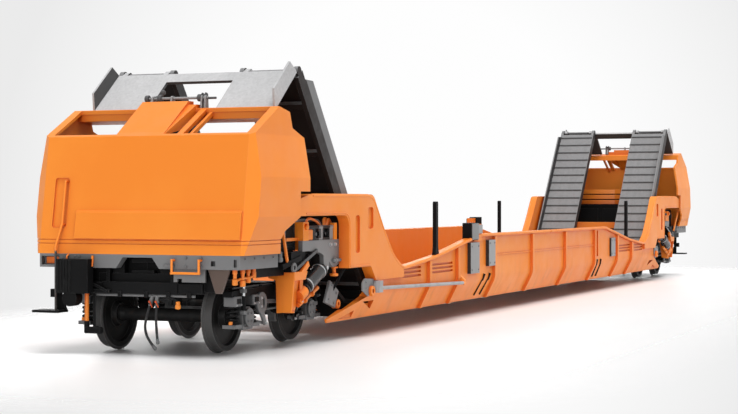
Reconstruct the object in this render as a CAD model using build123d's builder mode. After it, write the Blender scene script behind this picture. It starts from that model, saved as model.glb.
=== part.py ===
from build123d import *
from math import atan2, cos, pi, radians, sin, tan
import os

# Low-floor rail car for road vehicles, in millimetres.
# X runs along the car, Y across it and Z up; the flanges of the wheels stand on Z = 0.
# Each end is modelled at +X (the far end) and turned half round for the near end.

# Running gear
TREAD_R = 420
FLANGE_HEIGHT = 28
AXLE_Z = TREAD_R + FLANGE_HEIGHT
BACK_TO_BACK = 1360
RIM_WIDTH = 135
RIM_DEPTH = 65
HUB_R = 130
HUB_LENGTH = 175
WEB_THICK = 32
AXLE_R = 80
SEAT_R = 96
JOURNAL_R = 62
JOURNAL_Y = 1000
AXLE_LENGTH = 2160
PRESS_GAP = 0.2

# Bogie
BOGIE_X = 10530
WHEELBASE = 1800
BOX_WIDTH = 170
BOX_HALF = 125
BOX_CAP_R = 95
BOX_CAP_DEPTH = 33
WING_REACH = 330
WING_THICK = 45
SPRING_X = 235
SPRING_R = 78
SPRING_WIRE = 26
SPRING_COILS = 7
SIDE_FRAME_WIDTH = 130
SIDE_FRAME_TOP = AXLE_Z + 352
SIDE_FRAME_BOTTOM = AXLE_Z + 252
SIDE_FRAME_HALF = 1260
TRANSOM_HALF = 240
TRANSOM_BOTTOM = AXLE_Z + 152
TRANSOM_TOP = AXLE_Z + 382
PIVOT_R = 170
PIVOT_PIN_R = 60
RUN_GAP = 8
SHOE_GAP = 10
SHOE_THICK = 48
SHOE_WIDTH = 84
SHOE_HALF_HEIGHT = 150
BRAKE_BEAM_R = 24

# Platform
FLOOR_HALF_LENGTH = 8300
FLOOR_TOP = 450
FLOOR_PLATE = 50
RAMP_SEAT = FLOOR_TOP - 12
RAMP_SEAT_X = 7900
SILL_BOTTOM = 250
KNEE_Z = 590
WALL_OUT = 1440
WALL_THICK = 80
WALL_IN = WALL_OUT - WALL_THICK
FLOOR_HALF = WALL_IN - 60
SILL_OUT = WALL_OUT - 170
SILL_IN = SILL_OUT - 160
NOSE_IN = SILL_OUT - 15
NOSE_TIP_X = 9550
WALL_TOP = 1310
CAP_OUT = WALL_OUT + 50
CAP_THICK = 32
RIB_DEPTH = 50
RIB_WIDTH = 90
CREASE_Z = 955
CREASE_DEPTH = 16
CROSS_BEAM_COUNT = 13
CROSS_BEAM_WIDTH = 90
CENTRE_SILL_Y = 420
CENTRE_SILL_WIDTH = 110
BULKHEAD_THICK = 60
BULKHEAD_TOP = 620
STAKE_X = 5850
STAKE_TOP = 1835
STAKE_HALF = 40
STAKE_FOOT = 75
STAKE_THICK = 60
PULL_ROD_R = 26
LOUVRE_DEPTH = 30
LOUVRE_HEIGHT = 32
LOUVRE_PITCH = 58

# Goosenecks
GOOSE_JOINT_X = 7300
GOOSE_JOINT_Z = 765
GOOSE_OUT = CAP_OUT
GOOSE_THICK = 150
GOOSE_IN = GOOSE_OUT - GOOSE_THICK
GOOSE_TOP = 1934
GOOSE_END_X = 10800
GOOSE_ARM_BOTTOM = 1660
GOOSE_LEG_X = 9270
GOOSE_LEG_BOTTOM = 962
GOOSE_TOP_X = 8435
GOOSE_SLOT_DEPTH = 30
GOOSE_SLOT_R = 45
CROSSBEAM_TOP = 1330
CROSSBEAM_HEIGHT = 140
CROSSBEAM_WIDTH = 280
BRACKET_THICK = 60
BRACKET_TOP = 1343

# Ramps
RAMP_SLOPE = 52.3
RAMP_IN = 477
RAMP_OUT = FLOOR_HALF - 11
RAMP_TOP_Z = 3530
RAMP_DEPTH = 165
RAMP_CLEAR = 20
RAMP_BEAM = 60
RAMP_DECK = 26
CLEAT_COUNT = 16
CLEAT_HEIGHT = 16
CLEAT_WIDTH = 26
RAMP_TIE_COUNT = 5
RAMP_TIE = 70
LUG_R = 62
HINGE_PIN_R = 26
PIN_GAP = 2
LEAF_START = 45
DECK_START = 120
FLAP_SLOPE = 38.9
FLAP_LENGTH = 850
FLAP_PLATE = 40
FLAP_RISE = 69
FLAP_START = 78
CROSS_PLATE_END = 260
CURB_HEIGHT = 185
CURB_WIDTH = 26
LEAF_CURB_TOP = 180
KNUCKLE_GAP = 6
KNUCKLE_WIDTH = 70
KNUCKLE_R = 48

# End frame, headstock and hood
DECK_TOP = 1210
DECK_PLATE = 40
FRAME_BOTTOM = 960
FRAME_INNER_X = 10100
BOLSTER_HALF = 200
BOLSTER_REACH = GOOSE_IN
SILL_Y = 250
SILL_WIDTH = 150
HEAD_X = 12180
HEAD_DEPTH = 120
HEAD_HALF = CAP_OUT - 124
HEAD_BOTTOM = 1045
HEAD_RETURN_X = 11170
HEAD_WEB = 100
DRAW_PIN_X = HEAD_X - 220
DRAW_PIN_R = 40
DRAW_Z = 1065
DRAW_HALF = 90
DRAW_PLATE = 45
GUARD_BOTTOM = 740
GUARD_TOP = 880
GUARD_HALF = 520
PIPE_R = 18
PIPE_HALF = 730
HOSE_R = 16
COCK_R = 27
HOOD_HALF = CAP_OUT + 35
HOOD_TOP_IN = 85
HOOD_FACE_HALF = HEAD_HALF + 10
HOOD_FACET = 100
HOOD_WALL = 40
HOOD_TOP_X = HEAD_X - 220
HOOD_TOP_Z = 2630
HOOD_RIDGE_X = 11280
HOOD_RIDGE_Z = 2990
HOOD_RAIL = 110
HOOD_REAR_X = 10570
HUMP_TOP = 3080
POCKET_DEPTH = 21
GRAB_R = 15
GRAB_REACH = 62
RIDGE_BACK_X = 10980
RIDGE_DROP = 56
FASCIA_TOP = 1710
FASCIA_PROUD = 28
SEAM_DEPTH = 10
SEAM_HEIGHT = 9

SIDES = (-1, 1)
os.makedirs("parts", exist_ok=True)


def save(part, name):
    """Writes one finished sub-part to its own file."""
    part.label = name
    export_step(part, f"parts/{name}.step")


def save_ends(part, name):
    """Writes the far end's sub-part, and the same turned half round for the near end."""
    save(part, f"{name}_far")
    save(part.rotate(Axis.Z, 180), f"{name}_near")


def save_both(part, name):
    """Writes the pieces of both ends as one sub-part of solids that don't touch."""
    with BuildPart() as both:
        add(part)
        add(part.rotate(Axis.Z, 180))
    save(both.part, name)


def prism(plane, points, amount, rounds=(), mode=Mode.ADD):
    """A closed outline on a plane, its named corners rounded, pushed out by an amount."""
    with BuildSketch(plane) as profile:
        with BuildLine():
            Polyline(*points, close=True)
        make_face()
        for corner, radius in rounds:
            fillet(profile.vertices().sort_by_distance(corner)[0], radius)
    extrude(profile.sketch, amount=amount, mode=mode)


def side_prism(points, y0, y1, rounds=(), mode=Mode.ADD):
    """An outline in X and Z, from y0 to y1."""
    prism(Plane.XZ.offset(-y1), points, y1 - y0, rounds, mode)


def cross_prism(points, x0, x1, rounds=(), mode=Mode.ADD):
    """An outline in Y and Z, from x0 to x1."""
    prism(Plane.YZ.offset(x0), points, x1 - x0, rounds, mode)


def plan_prism(points, z0, z1, rounds=(), mode=Mode.ADD):
    """An outline in X and Y, from z0 to z1."""
    prism(Plane.XY.offset(z0), points, z1 - z0, rounds, mode)


def block(x0, x1, y0, y1, z0, z1, mode=Mode.ADD):
    """A box between two corners."""
    with Locations(((x0 + x1) / 2, (y0 + y1) / 2, (z0 + z1) / 2)):
        Box(x1 - x0, y1 - y0, z1 - z0, mode=mode)


def rod(start, end, radius, mode=Mode.ADD):
    """A round bar from one point to another."""
    axis = Vector(*end) - Vector(*start)
    with BuildSketch(Plane(origin=start, z_dir=axis)) as profile:
        Circle(radius)
    extrude(profile.sketch, amount=axis.length, mode=mode)


def along(origin, slope, run, rise):
    """A point in X and Z, so far along a slope from an origin and so far square to it."""
    turn = radians(slope)
    return (origin[0] + run * cos(turn) - rise * sin(turn), origin[1] + run * sin(turn) + rise * cos(turn))


# Side walls
# Distance from the middle, height of the top edge
WALL_EDGE = ((0, WALL_TOP), (3950, WALL_TOP), (6000, WALL_TOP - 290), (GOOSE_JOINT_X, WALL_TOP - 406))
# Distance of each rib from the middle
RIB_X = (1050, 3150, 4950, 6200)
# Start and end along the wall, height of the lowest slot
LOUVRES = ((5130, 6130, 760), (6500, 7240, 745))
# Start and end along the wall, bottom, top: lock posts that stand above the cap
LOCK_POST = (3860, 4230, 1200, 1470)
# Start and end along the wall, bottom, top, depth out from the wall
LOCK_PLATES = (
    (4020, 4440, 690, 1180, 58),
    (3215, 3540, 780, 1205, 58),
    (-4740, -4410, 690, 1070, 40),
)
LOCK_POCKET = (-3500, -3215, 720, 1240, 45)
# Recesses in the nose: the flat bottom's distance from the middle, then the corners
NOSE_RECESSES = (
    (SILL_OUT + 5, ((9190, 280), (8740, 370), (8740, 275))),
    (SILL_OUT + 25, ((8560, 480), (8180, 480), (8180, 360))),
)


def wall_top_at(x):
    """Height of the wall's top edge at a distance from the middle of the car."""
    for (x0, z0), (x1, z1) in zip(WALL_EDGE, WALL_EDGE[1:]):
        if x0 <= x <= x1:
            return z0 + (z1 - z0) * (x - x0) / (x1 - x0)


half_top = list(WALL_EDGE[1:])
half_nose = [
    (GOOSE_JOINT_X, GOOSE_JOINT_Z),
    (8340, GOOSE_JOINT_Z),
    (8500, 545),
    (NOSE_TIP_X, SILL_BOTTOM + 50),
    (NOSE_TIP_X - 30, SILL_BOTTOM),
]
half_outline = half_top + half_nose
wall_outline = [(-x, z) for x, z in reversed(half_outline)] + half_outline
cap_line = [(-x, z) for x, z in reversed(half_top)] + half_top
cap_outline = cap_line + [(x, z - CAP_THICK) for x, z in reversed(cap_line)]
wall_section = [
    (WALL_IN, WALL_TOP),
    (WALL_OUT, WALL_TOP),
    (WALL_OUT, KNEE_Z),
    (SILL_OUT, SILL_BOTTOM),
    (SILL_IN, SILL_BOTTOM),
    (SILL_IN, FLOOR_TOP - FLOOR_PLATE),
    (FLOOR_HALF, FLOOR_TOP - FLOOR_PLATE),
    (FLOOR_HALF, KNEE_Z - 30),
    (WALL_IN, KNEE_Z + 70),
]
lean = atan2(WALL_OUT - SILL_OUT, KNEE_Z - SILL_BOTTOM)
rib_foot = SILL_OUT + RIB_DEPTH / cos(lean)
rib_knee = KNEE_Z - RIB_DEPTH * tan(lean / 2)

with BuildPart() as side_wall:
    cross_prism(wall_section, -NOSE_TIP_X, NOSE_TIP_X, [((WALL_OUT, KNEE_Z), 260)])
    side_prism(wall_outline, SILL_IN, WALL_OUT, mode=Mode.INTERSECT)
    for end in SIDES:
        x0, x1 = sorted((end * FLOOR_HALF_LENGTH, end * NOSE_TIP_X))
        block(x0, x1, SILL_IN, NOSE_IN, SILL_BOTTOM, GOOSE_JOINT_Z, mode=Mode.SUBTRACT)
    side_prism(cap_outline, WALL_IN, CAP_OUT)
    block(-RIB_X[1], RIB_X[1], WALL_OUT, WALL_OUT + CREASE_DEPTH, CREASE_Z - 8, CREASE_Z + 8)
    for x in RIB_X:
        top = wall_top_at(x) - CAP_THICK - 20
        rib = [
            (WALL_OUT - 30, top),
            (WALL_OUT + RIB_DEPTH, top),
            (WALL_OUT + RIB_DEPTH, rib_knee),
            (rib_foot, SILL_BOTTOM),
            (SILL_OUT - 30, SILL_BOTTOM),
            (WALL_OUT - 30, KNEE_Z),
        ]
        for end in SIDES:
            rib_x = end * x
            bend = [((WALL_OUT + RIB_DEPTH, rib_knee), 300)]
            cross_prism(rib, rib_x - RIB_WIDTH / 2, rib_x + RIB_WIDTH / 2, bend)
    for start, stop, lowest in LOUVRES:
        for row in range(3):
            z = lowest + row * LOUVRE_PITCH
            for x0, x1 in ((start, stop), (-stop, -start)):
                block(x0, x1, WALL_OUT - LOUVRE_DEPTH, WALL_OUT, z, z + LOUVRE_HEIGHT, mode=Mode.SUBTRACT)
    for bottom, corners in NOSE_RECESSES:
        for end in SIDES:
            recess = [(end * x, z) for x, z in corners]
            side_prism(recess, bottom, WALL_OUT, mode=Mode.SUBTRACT)
    x0, x1, z0, z1, depth = LOCK_POCKET
    block(x0, x1, WALL_OUT - depth, WALL_OUT, z0, z1, mode=Mode.SUBTRACT)
    block(LOCK_POST[0], LOCK_POST[1], WALL_IN, CAP_OUT - 8, LOCK_POST[2], LOCK_POST[3])
save(side_wall.part, "side_wall_right")
save(side_wall.part.rotate(Axis.Z, 180), "side_wall_left")

# Lock plates on the walls, and one on the outer face of each lock post
with BuildPart() as lock_plates:
    for x0, x1, z0, z1, depth in LOCK_PLATES:
        block(x0, x1, WALL_OUT, WALL_OUT + depth, z0, z1)
    block(LOCK_POST[0] + 10, LOCK_POST[1] - 10, CAP_OUT - 8, CAP_OUT + 8, WALL_TOP + 12, LOCK_POST[3] - 10)
save_both(lock_plates.part, "lock_plates")

# Pull rods along the walls: a bar between a bracket at the gooseneck and a boss on the wall
PULL_ROD_Y = WALL_OUT + RIB_DEPTH + PULL_ROD_R + 6
PULL_ROD_OUTER = (8300, 655)
PULL_ROD_INNER = (4850, 570)
with BuildPart() as pull_rods:
    outer = (PULL_ROD_OUTER[0], PULL_ROD_Y, PULL_ROD_OUTER[1])
    inner = (PULL_ROD_INNER[0], PULL_ROD_Y, PULL_ROD_INNER[1])
    rod(outer, inner, PULL_ROD_R)
    plate = [(8230, KNEE_Z + 5), (8370, KNEE_Z + 5), (8330, 755), (8230, 755)]
    side_prism(plate, WALL_OUT, PULL_ROD_Y + PULL_ROD_R)
    boss_out = PULL_ROD_Y + PULL_ROD_R
    boss = [(WALL_OUT, KNEE_Z + 130), (WALL_OUT, KNEE_Z + 60), (PULL_ROD_Y, 535), (boss_out, 535),
            (boss_out, 610)]
    cross_prism(boss, PULL_ROD_INNER[0] - 38, PULL_ROD_INNER[0] + 38)
save_both(pull_rods.part, "pull_rods")

# Floor plate on cross-beams and centre sills, stepped down under the feet of the ramps
beam_top = FLOOR_TOP - FLOOR_PLATE
with BuildPart() as floor:
    block(-FLOOR_HALF_LENGTH, FLOOR_HALF_LENGTH, -FLOOR_HALF, FLOOR_HALF, beam_top, RAMP_SEAT)
    block(-RAMP_SEAT_X, RAMP_SEAT_X, -FLOOR_HALF, FLOOR_HALF, RAMP_SEAT, FLOOR_TOP)
    pitch = (2 * FLOOR_HALF_LENGTH - CROSS_BEAM_WIDTH) / (CROSS_BEAM_COUNT - 1)
    with GridLocations(pitch, 1, CROSS_BEAM_COUNT, 1):
        with Locations((0, 0, (SILL_BOTTOM + beam_top) / 2)):
            Box(CROSS_BEAM_WIDTH, 2 * SILL_IN, beam_top - SILL_BOTTOM)
    for side in SIDES:
        y = side * CENTRE_SILL_Y
        block(-FLOOR_HALF_LENGTH, FLOOR_HALF_LENGTH, y - CENTRE_SILL_WIDTH / 2, y + CENTRE_SILL_WIDTH / 2,
              SILL_BOTTOM, beam_top)
save(floor.part, "platform_floor")

# Bulkhead across the outer end of the floor, with a sloped guide plate at each side
guide_out = FLOOR_HALF_LENGTH + BULKHEAD_THICK
with BuildPart() as bulkhead:
    block(FLOOR_HALF_LENGTH, guide_out, -NOSE_IN, NOSE_IN, SILL_BOTTOM, BULKHEAD_TOP)
    guide = [(guide_out, 440), (guide_out + 500, 480), (guide_out + 830, 690), (guide_out + 830, 730),
             (guide_out + 480, 530), (guide_out, 500)]
    side_prism(guide, NOSE_IN - 150, NOSE_IN - 15)
    side_prism(guide, 15 - NOSE_IN, 150 - NOSE_IN)
save_both(bulkhead.part, "end_bulkheads")

# Goosenecks: two side arms, and the crossbeam between them
goose_outline = [
    (GOOSE_JOINT_X, WALL_EDGE[-1][1]),
    (7676, 1086),
    (8048, 1471),
    (GOOSE_TOP_X, GOOSE_TOP),
    (GOOSE_END_X - 300, GOOSE_TOP),
    (GOOSE_END_X, GOOSE_TOP - 60),
    (GOOSE_END_X, GOOSE_ARM_BOTTOM),
    (GOOSE_LEG_X, GOOSE_ARM_BOTTOM),
    (GOOSE_LEG_X, GOOSE_LEG_BOTTOM),
    (8520, GOOSE_LEG_BOTTOM),
    (8340, GOOSE_JOINT_Z),
    (GOOSE_JOINT_X, GOOSE_JOINT_Z),
]
goose_rounds = [
    ((7676, 1086), 500),
    ((GOOSE_TOP_X, GOOSE_TOP), 200),
    ((GOOSE_LEG_X, GOOSE_ARM_BOTTOM), 150),
    ((GOOSE_END_X, GOOSE_TOP - 60), 60),
    ((8520, GOOSE_LEG_BOTTOM), 80),
]
# Middle of each pressed panel, along the car and up, then its height and width
GOOSE_SLOTS = ((8535, 1615, 290, 190), (8983, 1405, 500, 145))

with BuildPart() as gooseneck:
    side_prism(goose_outline, GOOSE_IN, GOOSE_OUT, goose_rounds)
    with BuildSketch(Plane.XZ.offset(-GOOSE_OUT)) as slots:
        for x, z, height, width in GOOSE_SLOTS:
            with Locations((x, z)):
                RectangleRounded(width, height, GOOSE_SLOT_R)
    extrude(amount=GOOSE_SLOT_DEPTH, mode=Mode.SUBTRACT)
    mirror(about=Plane.XZ)
save_ends(gooseneck.part, "gooseneck")

# Ramp leaves, standing from the floor up to the flap hinge
leaf_tan = tan(radians(RAMP_SLOPE))
leaf_sin = sin(radians(RAMP_SLOPE))
leaf_back = FLOOR_HALF_LENGTH - RAMP_CLEAR - (BULKHEAD_TOP - RAMP_SEAT) / leaf_tan
leaf_foot_x = leaf_back - RAMP_DEPTH / leaf_sin
leaf_top = (leaf_foot_x + (RAMP_TOP_Z - RAMP_SEAT) / leaf_tan, RAMP_TOP_Z)
leaf_run = (RAMP_TOP_Z - RAMP_SEAT) / leaf_sin
hinge = (leaf_top[0] + 65, leaf_top[1] - 50)


def leaf_point(run, rise):
    """A point on the leaf's side view: so far down the slope from its top, so far above its face."""
    return along(leaf_top, RAMP_SLOPE, -run, rise)


def leaf_back_x(z):
    """Where the back of the leaf stands, along the car, at a height."""
    return leaf_foot_x + RAMP_DEPTH / leaf_sin + (z - RAMP_SEAT) / leaf_tan


def leaf_profile(start, depth):
    """Side view of a plate in the leaf's face, cut level where it stands on the floor."""
    heel = leaf_run - depth / leaf_tan
    return [leaf_point(start, 0), leaf_point(leaf_run, 0), leaf_point(heel, -depth),
            leaf_point(start, -depth)]


def leaf_bar(run, width, low, high):
    """Side view of a bar across the leaf, between two heights over its face."""
    stop = run + width
    return [leaf_point(run, low), leaf_point(stop, low), leaf_point(stop, high), leaf_point(run, high)]


with BuildPart() as ramp_leaves:
    for y in (RAMP_IN, RAMP_OUT - RAMP_BEAM):
        side_prism(leaf_profile(LEAF_START, RAMP_DEPTH), y, y + RAMP_BEAM)
        rod((hinge[0], y, hinge[1]), (hinge[0], y + RAMP_BEAM, hinge[1]), LUG_R)
    side_prism(leaf_profile(DECK_START, RAMP_DECK), RAMP_IN, RAMP_OUT)
    rod((hinge[0], RAMP_IN, hinge[1]), (hinge[0], RAMP_OUT, hinge[1]), HINGE_PIN_R)
    cleat_pitch = (leaf_run - DECK_START) / (CLEAT_COUNT + 0.5)
    for number in range(CLEAT_COUNT):
        run = DECK_START + (number + 0.4) * cleat_pitch
        cleat = leaf_bar(run, CLEAT_WIDTH, -RAMP_DECK / 2, CLEAT_HEIGHT)
        side_prism(cleat, RAMP_IN + 12, RAMP_OUT - CURB_WIDTH)
    curb = [leaf_point(LEAF_CURB_TOP, -RAMP_DECK / 2), leaf_point(leaf_run - 20, -RAMP_DECK / 2),
            leaf_point(leaf_run - 20, 0), leaf_point(leaf_run - 300, CURB_HEIGHT),
            leaf_point(LEAF_CURB_TOP + 150, CURB_HEIGHT), leaf_point(LEAF_CURB_TOP, 0)]
    side_prism(curb, RAMP_OUT - CURB_WIDTH, RAMP_OUT)
    tie_pitch = (leaf_run - DECK_START) / RAMP_TIE_COUNT
    for number in range(RAMP_TIE_COUNT):
        run = DECK_START + (number + 0.5) * tie_pitch
        tie = leaf_bar(run, RAMP_TIE, -RAMP_DECK - RAMP_TIE, -RAMP_DECK / 2)
        side_prism(tie, RAMP_IN, RAMP_OUT)
    mirror(about=Plane.XZ)
save_ends(ramp_leaves.part, "ramp_leaves")

crossbeam_x = leaf_back_x(CROSSBEAM_TOP) + RAMP_CLEAR + 12
with BuildPart() as crossbeam:
    crossbeam_low = CROSSBEAM_TOP - CROSSBEAM_HEIGHT
    block(crossbeam_x, crossbeam_x + CROSSBEAM_WIDTH, -GOOSE_IN, GOOSE_IN, crossbeam_low, CROSSBEAM_TOP)
save_both(crossbeam.part, "crossbeams")


# Ramp flaps, one frame at each end, folded down over the hood
def flap_point(run, rise):
    """A point on the flap's side view: so far from the hinge axis, so far above it."""
    return along(hinge, -FLAP_SLOPE, run, rise)


flap_under = FLAP_RISE - FLAP_PLATE
knuckle = [flap_point(0, KNUCKLE_R), flap_point(FLAP_START, FLAP_RISE - 5), flap_point(300, flap_under),
           flap_point(60, -KNUCKLE_R), flap_point(0, -KNUCKLE_R)]
with BuildPart() as flap:
    plate = [flap_point(FLAP_START, FLAP_RISE), flap_point(FLAP_LENGTH, FLAP_RISE),
             flap_point(FLAP_LENGTH, flap_under), flap_point(FLAP_START, flap_under)]
    side_prism(plate, RAMP_IN, RAMP_OUT)
    curb = [flap_point(FLAP_START, FLAP_RISE), flap_point(FLAP_LENGTH, FLAP_RISE),
            flap_point(FLAP_LENGTH - 120, FLAP_RISE + CURB_HEIGHT),
            flap_point(150, FLAP_RISE + CURB_HEIGHT)]
    side_prism(curb, RAMP_OUT - CURB_WIDTH, RAMP_OUT)
    for y in (RAMP_IN + RAMP_BEAM + KNUCKLE_GAP, RAMP_OUT - RAMP_BEAM - KNUCKLE_GAP - KNUCKLE_WIDTH):
        rod((hinge[0], y, hinge[1]), (hinge[0], y + KNUCKLE_WIDTH, hinge[1]), KNUCKLE_R)
        side_prism(knuckle, y, y + KNUCKLE_WIDTH)
        rod((hinge[0], y, hinge[1]), (hinge[0], y + KNUCKLE_WIDTH, hinge[1]), HINGE_PIN_R + PIN_GAP,
            mode=Mode.SUBTRACT)
    mirror(about=Plane.XZ)
    cross_plate = [flap_point(FLAP_START, FLAP_RISE), flap_point(CROSS_PLATE_END, FLAP_RISE),
                   flap_point(CROSS_PLATE_END, flap_under), flap_point(FLAP_START, flap_under)]
    side_prism(cross_plate, -RAMP_IN, RAMP_IN)
save_ends(flap.part, "ramp_flap")

# Stake posts with flared feet on the wall caps
with BuildPart() as stakes:
    shoulder = wall_top_at(STAKE_X) + 110
    stake = [(STAKE_X - STAKE_FOOT, wall_top_at(STAKE_X - STAKE_FOOT)),
             (STAKE_X + STAKE_FOOT, wall_top_at(STAKE_X + STAKE_FOOT)),
             (STAKE_X + STAKE_HALF, shoulder), (STAKE_X + STAKE_HALF, STAKE_TOP),
             (STAKE_X - STAKE_HALF, STAKE_TOP), (STAKE_X - STAKE_HALF, shoulder)]
    stake_in = (WALL_IN + CAP_OUT - STAKE_THICK) / 2
    tips = [((STAKE_X + STAKE_HALF, STAKE_TOP), 30), ((STAKE_X - STAKE_HALF, STAKE_TOP), 30)]
    side_prism(stake, stake_in, stake_in + STAKE_THICK, tips)
    mirror(about=Plane.XZ)
    mirror(about=Plane.YZ)
save(stakes.part, "stakes")

# End frame: deck, sills, bolster and centre pivot
with BuildPart() as end_frame:
    block(FRAME_INNER_X, HEAD_X - HEAD_DEPTH, -HEAD_HALF + HEAD_WEB, HEAD_HALF - HEAD_WEB,
          DECK_TOP - DECK_PLATE, DECK_TOP)
    for side in SIDES:
        y0, y1 = sorted((side * SILL_Y, side * (SILL_Y + SILL_WIDTH)))
        block(FRAME_INNER_X, HEAD_X - HEAD_DEPTH, y0, y1, FRAME_BOTTOM, DECK_TOP - DECK_PLATE)
    block(BOGIE_X - BOLSTER_HALF, BOGIE_X + BOLSTER_HALF, -BOLSTER_REACH, BOLSTER_REACH,
          FRAME_BOTTOM, DECK_TOP)
    rod((BOGIE_X, 0, TRANSOM_TOP + RUN_GAP), (BOGIE_X, 0, FRAME_BOTTOM), PIVOT_R)
    rod((BOGIE_X, 0, TRANSOM_TOP - 120), (BOGIE_X, 0, TRANSOM_TOP + RUN_GAP), PIVOT_PIN_R)
save_ends(end_frame.part, "end_frame")

# Headstock: front beam with side returns, pockets and a drawbar cut-out, and the plates that hang from it
# Start and end across the car, bottom, top, depth of each pocket
HEAD_POCKETS = ((-1340, -1090, 1075, 1180, 70), (985, 1045, 1085, 1145, 70), (1285, 1325, 1075, 1165, 40))
with BuildPart() as headstock:
    plan = [(HEAD_RETURN_X, HEAD_HALF), (HEAD_X, HEAD_HALF), (HEAD_X, -HEAD_HALF),
            (HEAD_RETURN_X, -HEAD_HALF), (HEAD_RETURN_X, -HEAD_HALF + HEAD_WEB),
            (HEAD_X - HEAD_DEPTH, -HEAD_HALF + HEAD_WEB),
            (HEAD_X - HEAD_DEPTH, HEAD_HALF - HEAD_WEB), (HEAD_RETURN_X, HEAD_HALF - HEAD_WEB)]
    plan_prism(plan, HEAD_BOTTOM, DECK_TOP)
    notch = [(-295, HEAD_BOTTOM), (-200, HEAD_BOTTOM + 130), (200, HEAD_BOTTOM + 130), (295, HEAD_BOTTOM)]
    cross_prism(notch, HEAD_X - HEAD_DEPTH, HEAD_X, mode=Mode.SUBTRACT)
    for y0, y1, z0, z1, depth in HEAD_POCKETS:
        block(HEAD_X - depth, HEAD_X, y0, y1, z0, z1, mode=Mode.SUBTRACT)
    hanger = [(470, HEAD_BOTTOM), (890, HEAD_BOTTOM), (890, 890), (580, 890),
              (580, 930), (520, 930), (520, 890), (470, 890)]
    cross_prism(hanger, HEAD_X - 70, HEAD_X - 40)
    gusset = [(900, HEAD_BOTTOM), (1190, HEAD_BOTTOM), (1080, 760), (1000, 760)]
    cross_prism(gusset, HEAD_X - HEAD_DEPTH, HEAD_X - HEAD_DEPTH + 30)
save_ends(headstock.part, "headstock")

# Draw gear: a clevis between the sills, for a drawbar's pin, and a guard beam below it
guard_in = HEAD_X - 150
with BuildPart() as draw_gear:
    block(DRAW_PIN_X - 300, DRAW_PIN_X - 250, -SILL_Y, SILL_Y, DRAW_Z - DRAW_HALF, DRAW_Z + DRAW_HALF)
    for z0 in (DRAW_Z - DRAW_HALF, DRAW_Z + DRAW_HALF - DRAW_PLATE):
        block(DRAW_PIN_X - 250, DRAW_PIN_X + 90, -150, 150, z0, z0 + DRAW_PLATE)
    pin_foot = (DRAW_PIN_X, 0, DRAW_Z - DRAW_HALF)
    rod(pin_foot, (DRAW_PIN_X, 0, DRAW_Z + DRAW_HALF), DRAW_PIN_R, mode=Mode.SUBTRACT)
    block(guard_in, guard_in + 90, -GUARD_HALF, GUARD_HALF, GUARD_BOTTOM, GUARD_TOP)
    for side in SIDES:
        y0, y1 = sorted((side * (SILL_Y + SILL_WIDTH + 20), side * (SILL_Y + SILL_WIDTH + 60)))
        block(guard_in, guard_in + 90, y0, y1, GUARD_TOP, HEAD_BOTTOM)
save_ends(draw_gear.part, "draw_gear")

# Brake hoses: each hangs free from its cock under the brake pipe
# Name, then the distance across the car and the height of each point from the cock down
HOSE_ROUTES = (
    ("bowed", ((130, 632), (82, 492), (45, 345), (85, 205), (165, 120))),
    ("straight", ((215, 632), (203, 490), (206, 340), (222, 200))),
)
pipe_x = guard_in + 60
pipe_z = GUARD_BOTTOM - PIPE_R


def hose_points(route):
    """The hose's route in the plane of the brake pipe."""
    return [(pipe_x, y, z) for y, z in route]


# Brake pipe under the guard beam, with a cock at the head of each hose
with BuildPart() as brake_pipes:
    rod((pipe_x, -PIPE_HALF, pipe_z), (pipe_x, PIPE_HALF, pipe_z), PIPE_R)
    for name, route in HOSE_ROUTES:
        points = hose_points(route)
        start = Vector(*points[0])
        way = (start - Vector(*points[1])).normalized()
        rod(tuple(start), tuple(start + way * ((pipe_z - start.Z) / way.Z)), COCK_R)
save_both(brake_pipes.part, "brake_pipes")


def bend_radii(points):
    """The largest radius that each corner of a route leaves room for."""
    radii = []
    for before, corner, after in zip(points, points[1:], points[2:]):
        first = Vector(*corner) - Vector(*before)
        second = Vector(*after) - Vector(*corner)
        turn = radians(first.get_angle(second))
        radii.append(0.45 * min(first.length, second.length) / tan(turn / 2))
    return radii


for name, route in HOSE_ROUTES:
    points = hose_points(route)
    radii = bend_radii(points)
    print(name, "hose radii", [round(radius) for radius in radii])
    with BuildPart() as hose:
        with BuildLine() as path:
            FilletPolyline(*points, radius=radii)
        with BuildSketch(Plane(origin=path.line @ 0, z_dir=path.line % 0)):
            Circle(HOSE_R)
        sweep()
    save_ends(hose.part, f"brake_hose_{name}")
    whole = pi * HOSE_R ** 2 * path.wires()[0].length
    print(name, "hose volume over section times length", round(hose.part.volume / whole, 4))
    with BuildPart() as head:
        tail = path.line @ 1
        way = path.line % 1
        stop = tail + way * 60
        rod(tuple(tail), tuple(stop), HOSE_R + 8)
    save_ends(head.part, f"hose_head_{name}")

# Hood: a faceted shell, open behind and below
hood_side = [
    (HEAD_X, DECK_TOP),
    (HOOD_TOP_X, HOOD_TOP_Z),
    (HOOD_RIDGE_X, HOOD_RIDGE_Z),
    (RIDGE_BACK_X, HOOD_RIDGE_Z - RIDGE_DROP),
    (10907, HOOD_RIDGE_Z - 250),
    (HOOD_REAR_X, HOOD_TOP_Z),
    (HOOD_REAR_X, GOOSE_TOP + 30),
    (10850, GOOSE_TOP + 30),
    (10850, 1650),
    (11200, 1486),
    (11265, 1381),
    (HEAD_RETURN_X + 16, DECK_TOP),
]
# Height, half width across the hood
HOOD_FRONT = ((DECK_TOP, HOOD_HALF - 115), (1660, HOOD_HALF), (2130, HOOD_HALF),
              (2640, HOOD_HALF - HOOD_TOP_IN), (HUMP_TOP, HOOD_HALF - HOOD_TOP_IN))


def hood_front(inset):
    """The hood's cross section, in by a wall's thickness."""
    half = [(width - inset, height) for height, width in HOOD_FRONT]
    return half + [(-y, z) for y, z in reversed(half)]


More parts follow.
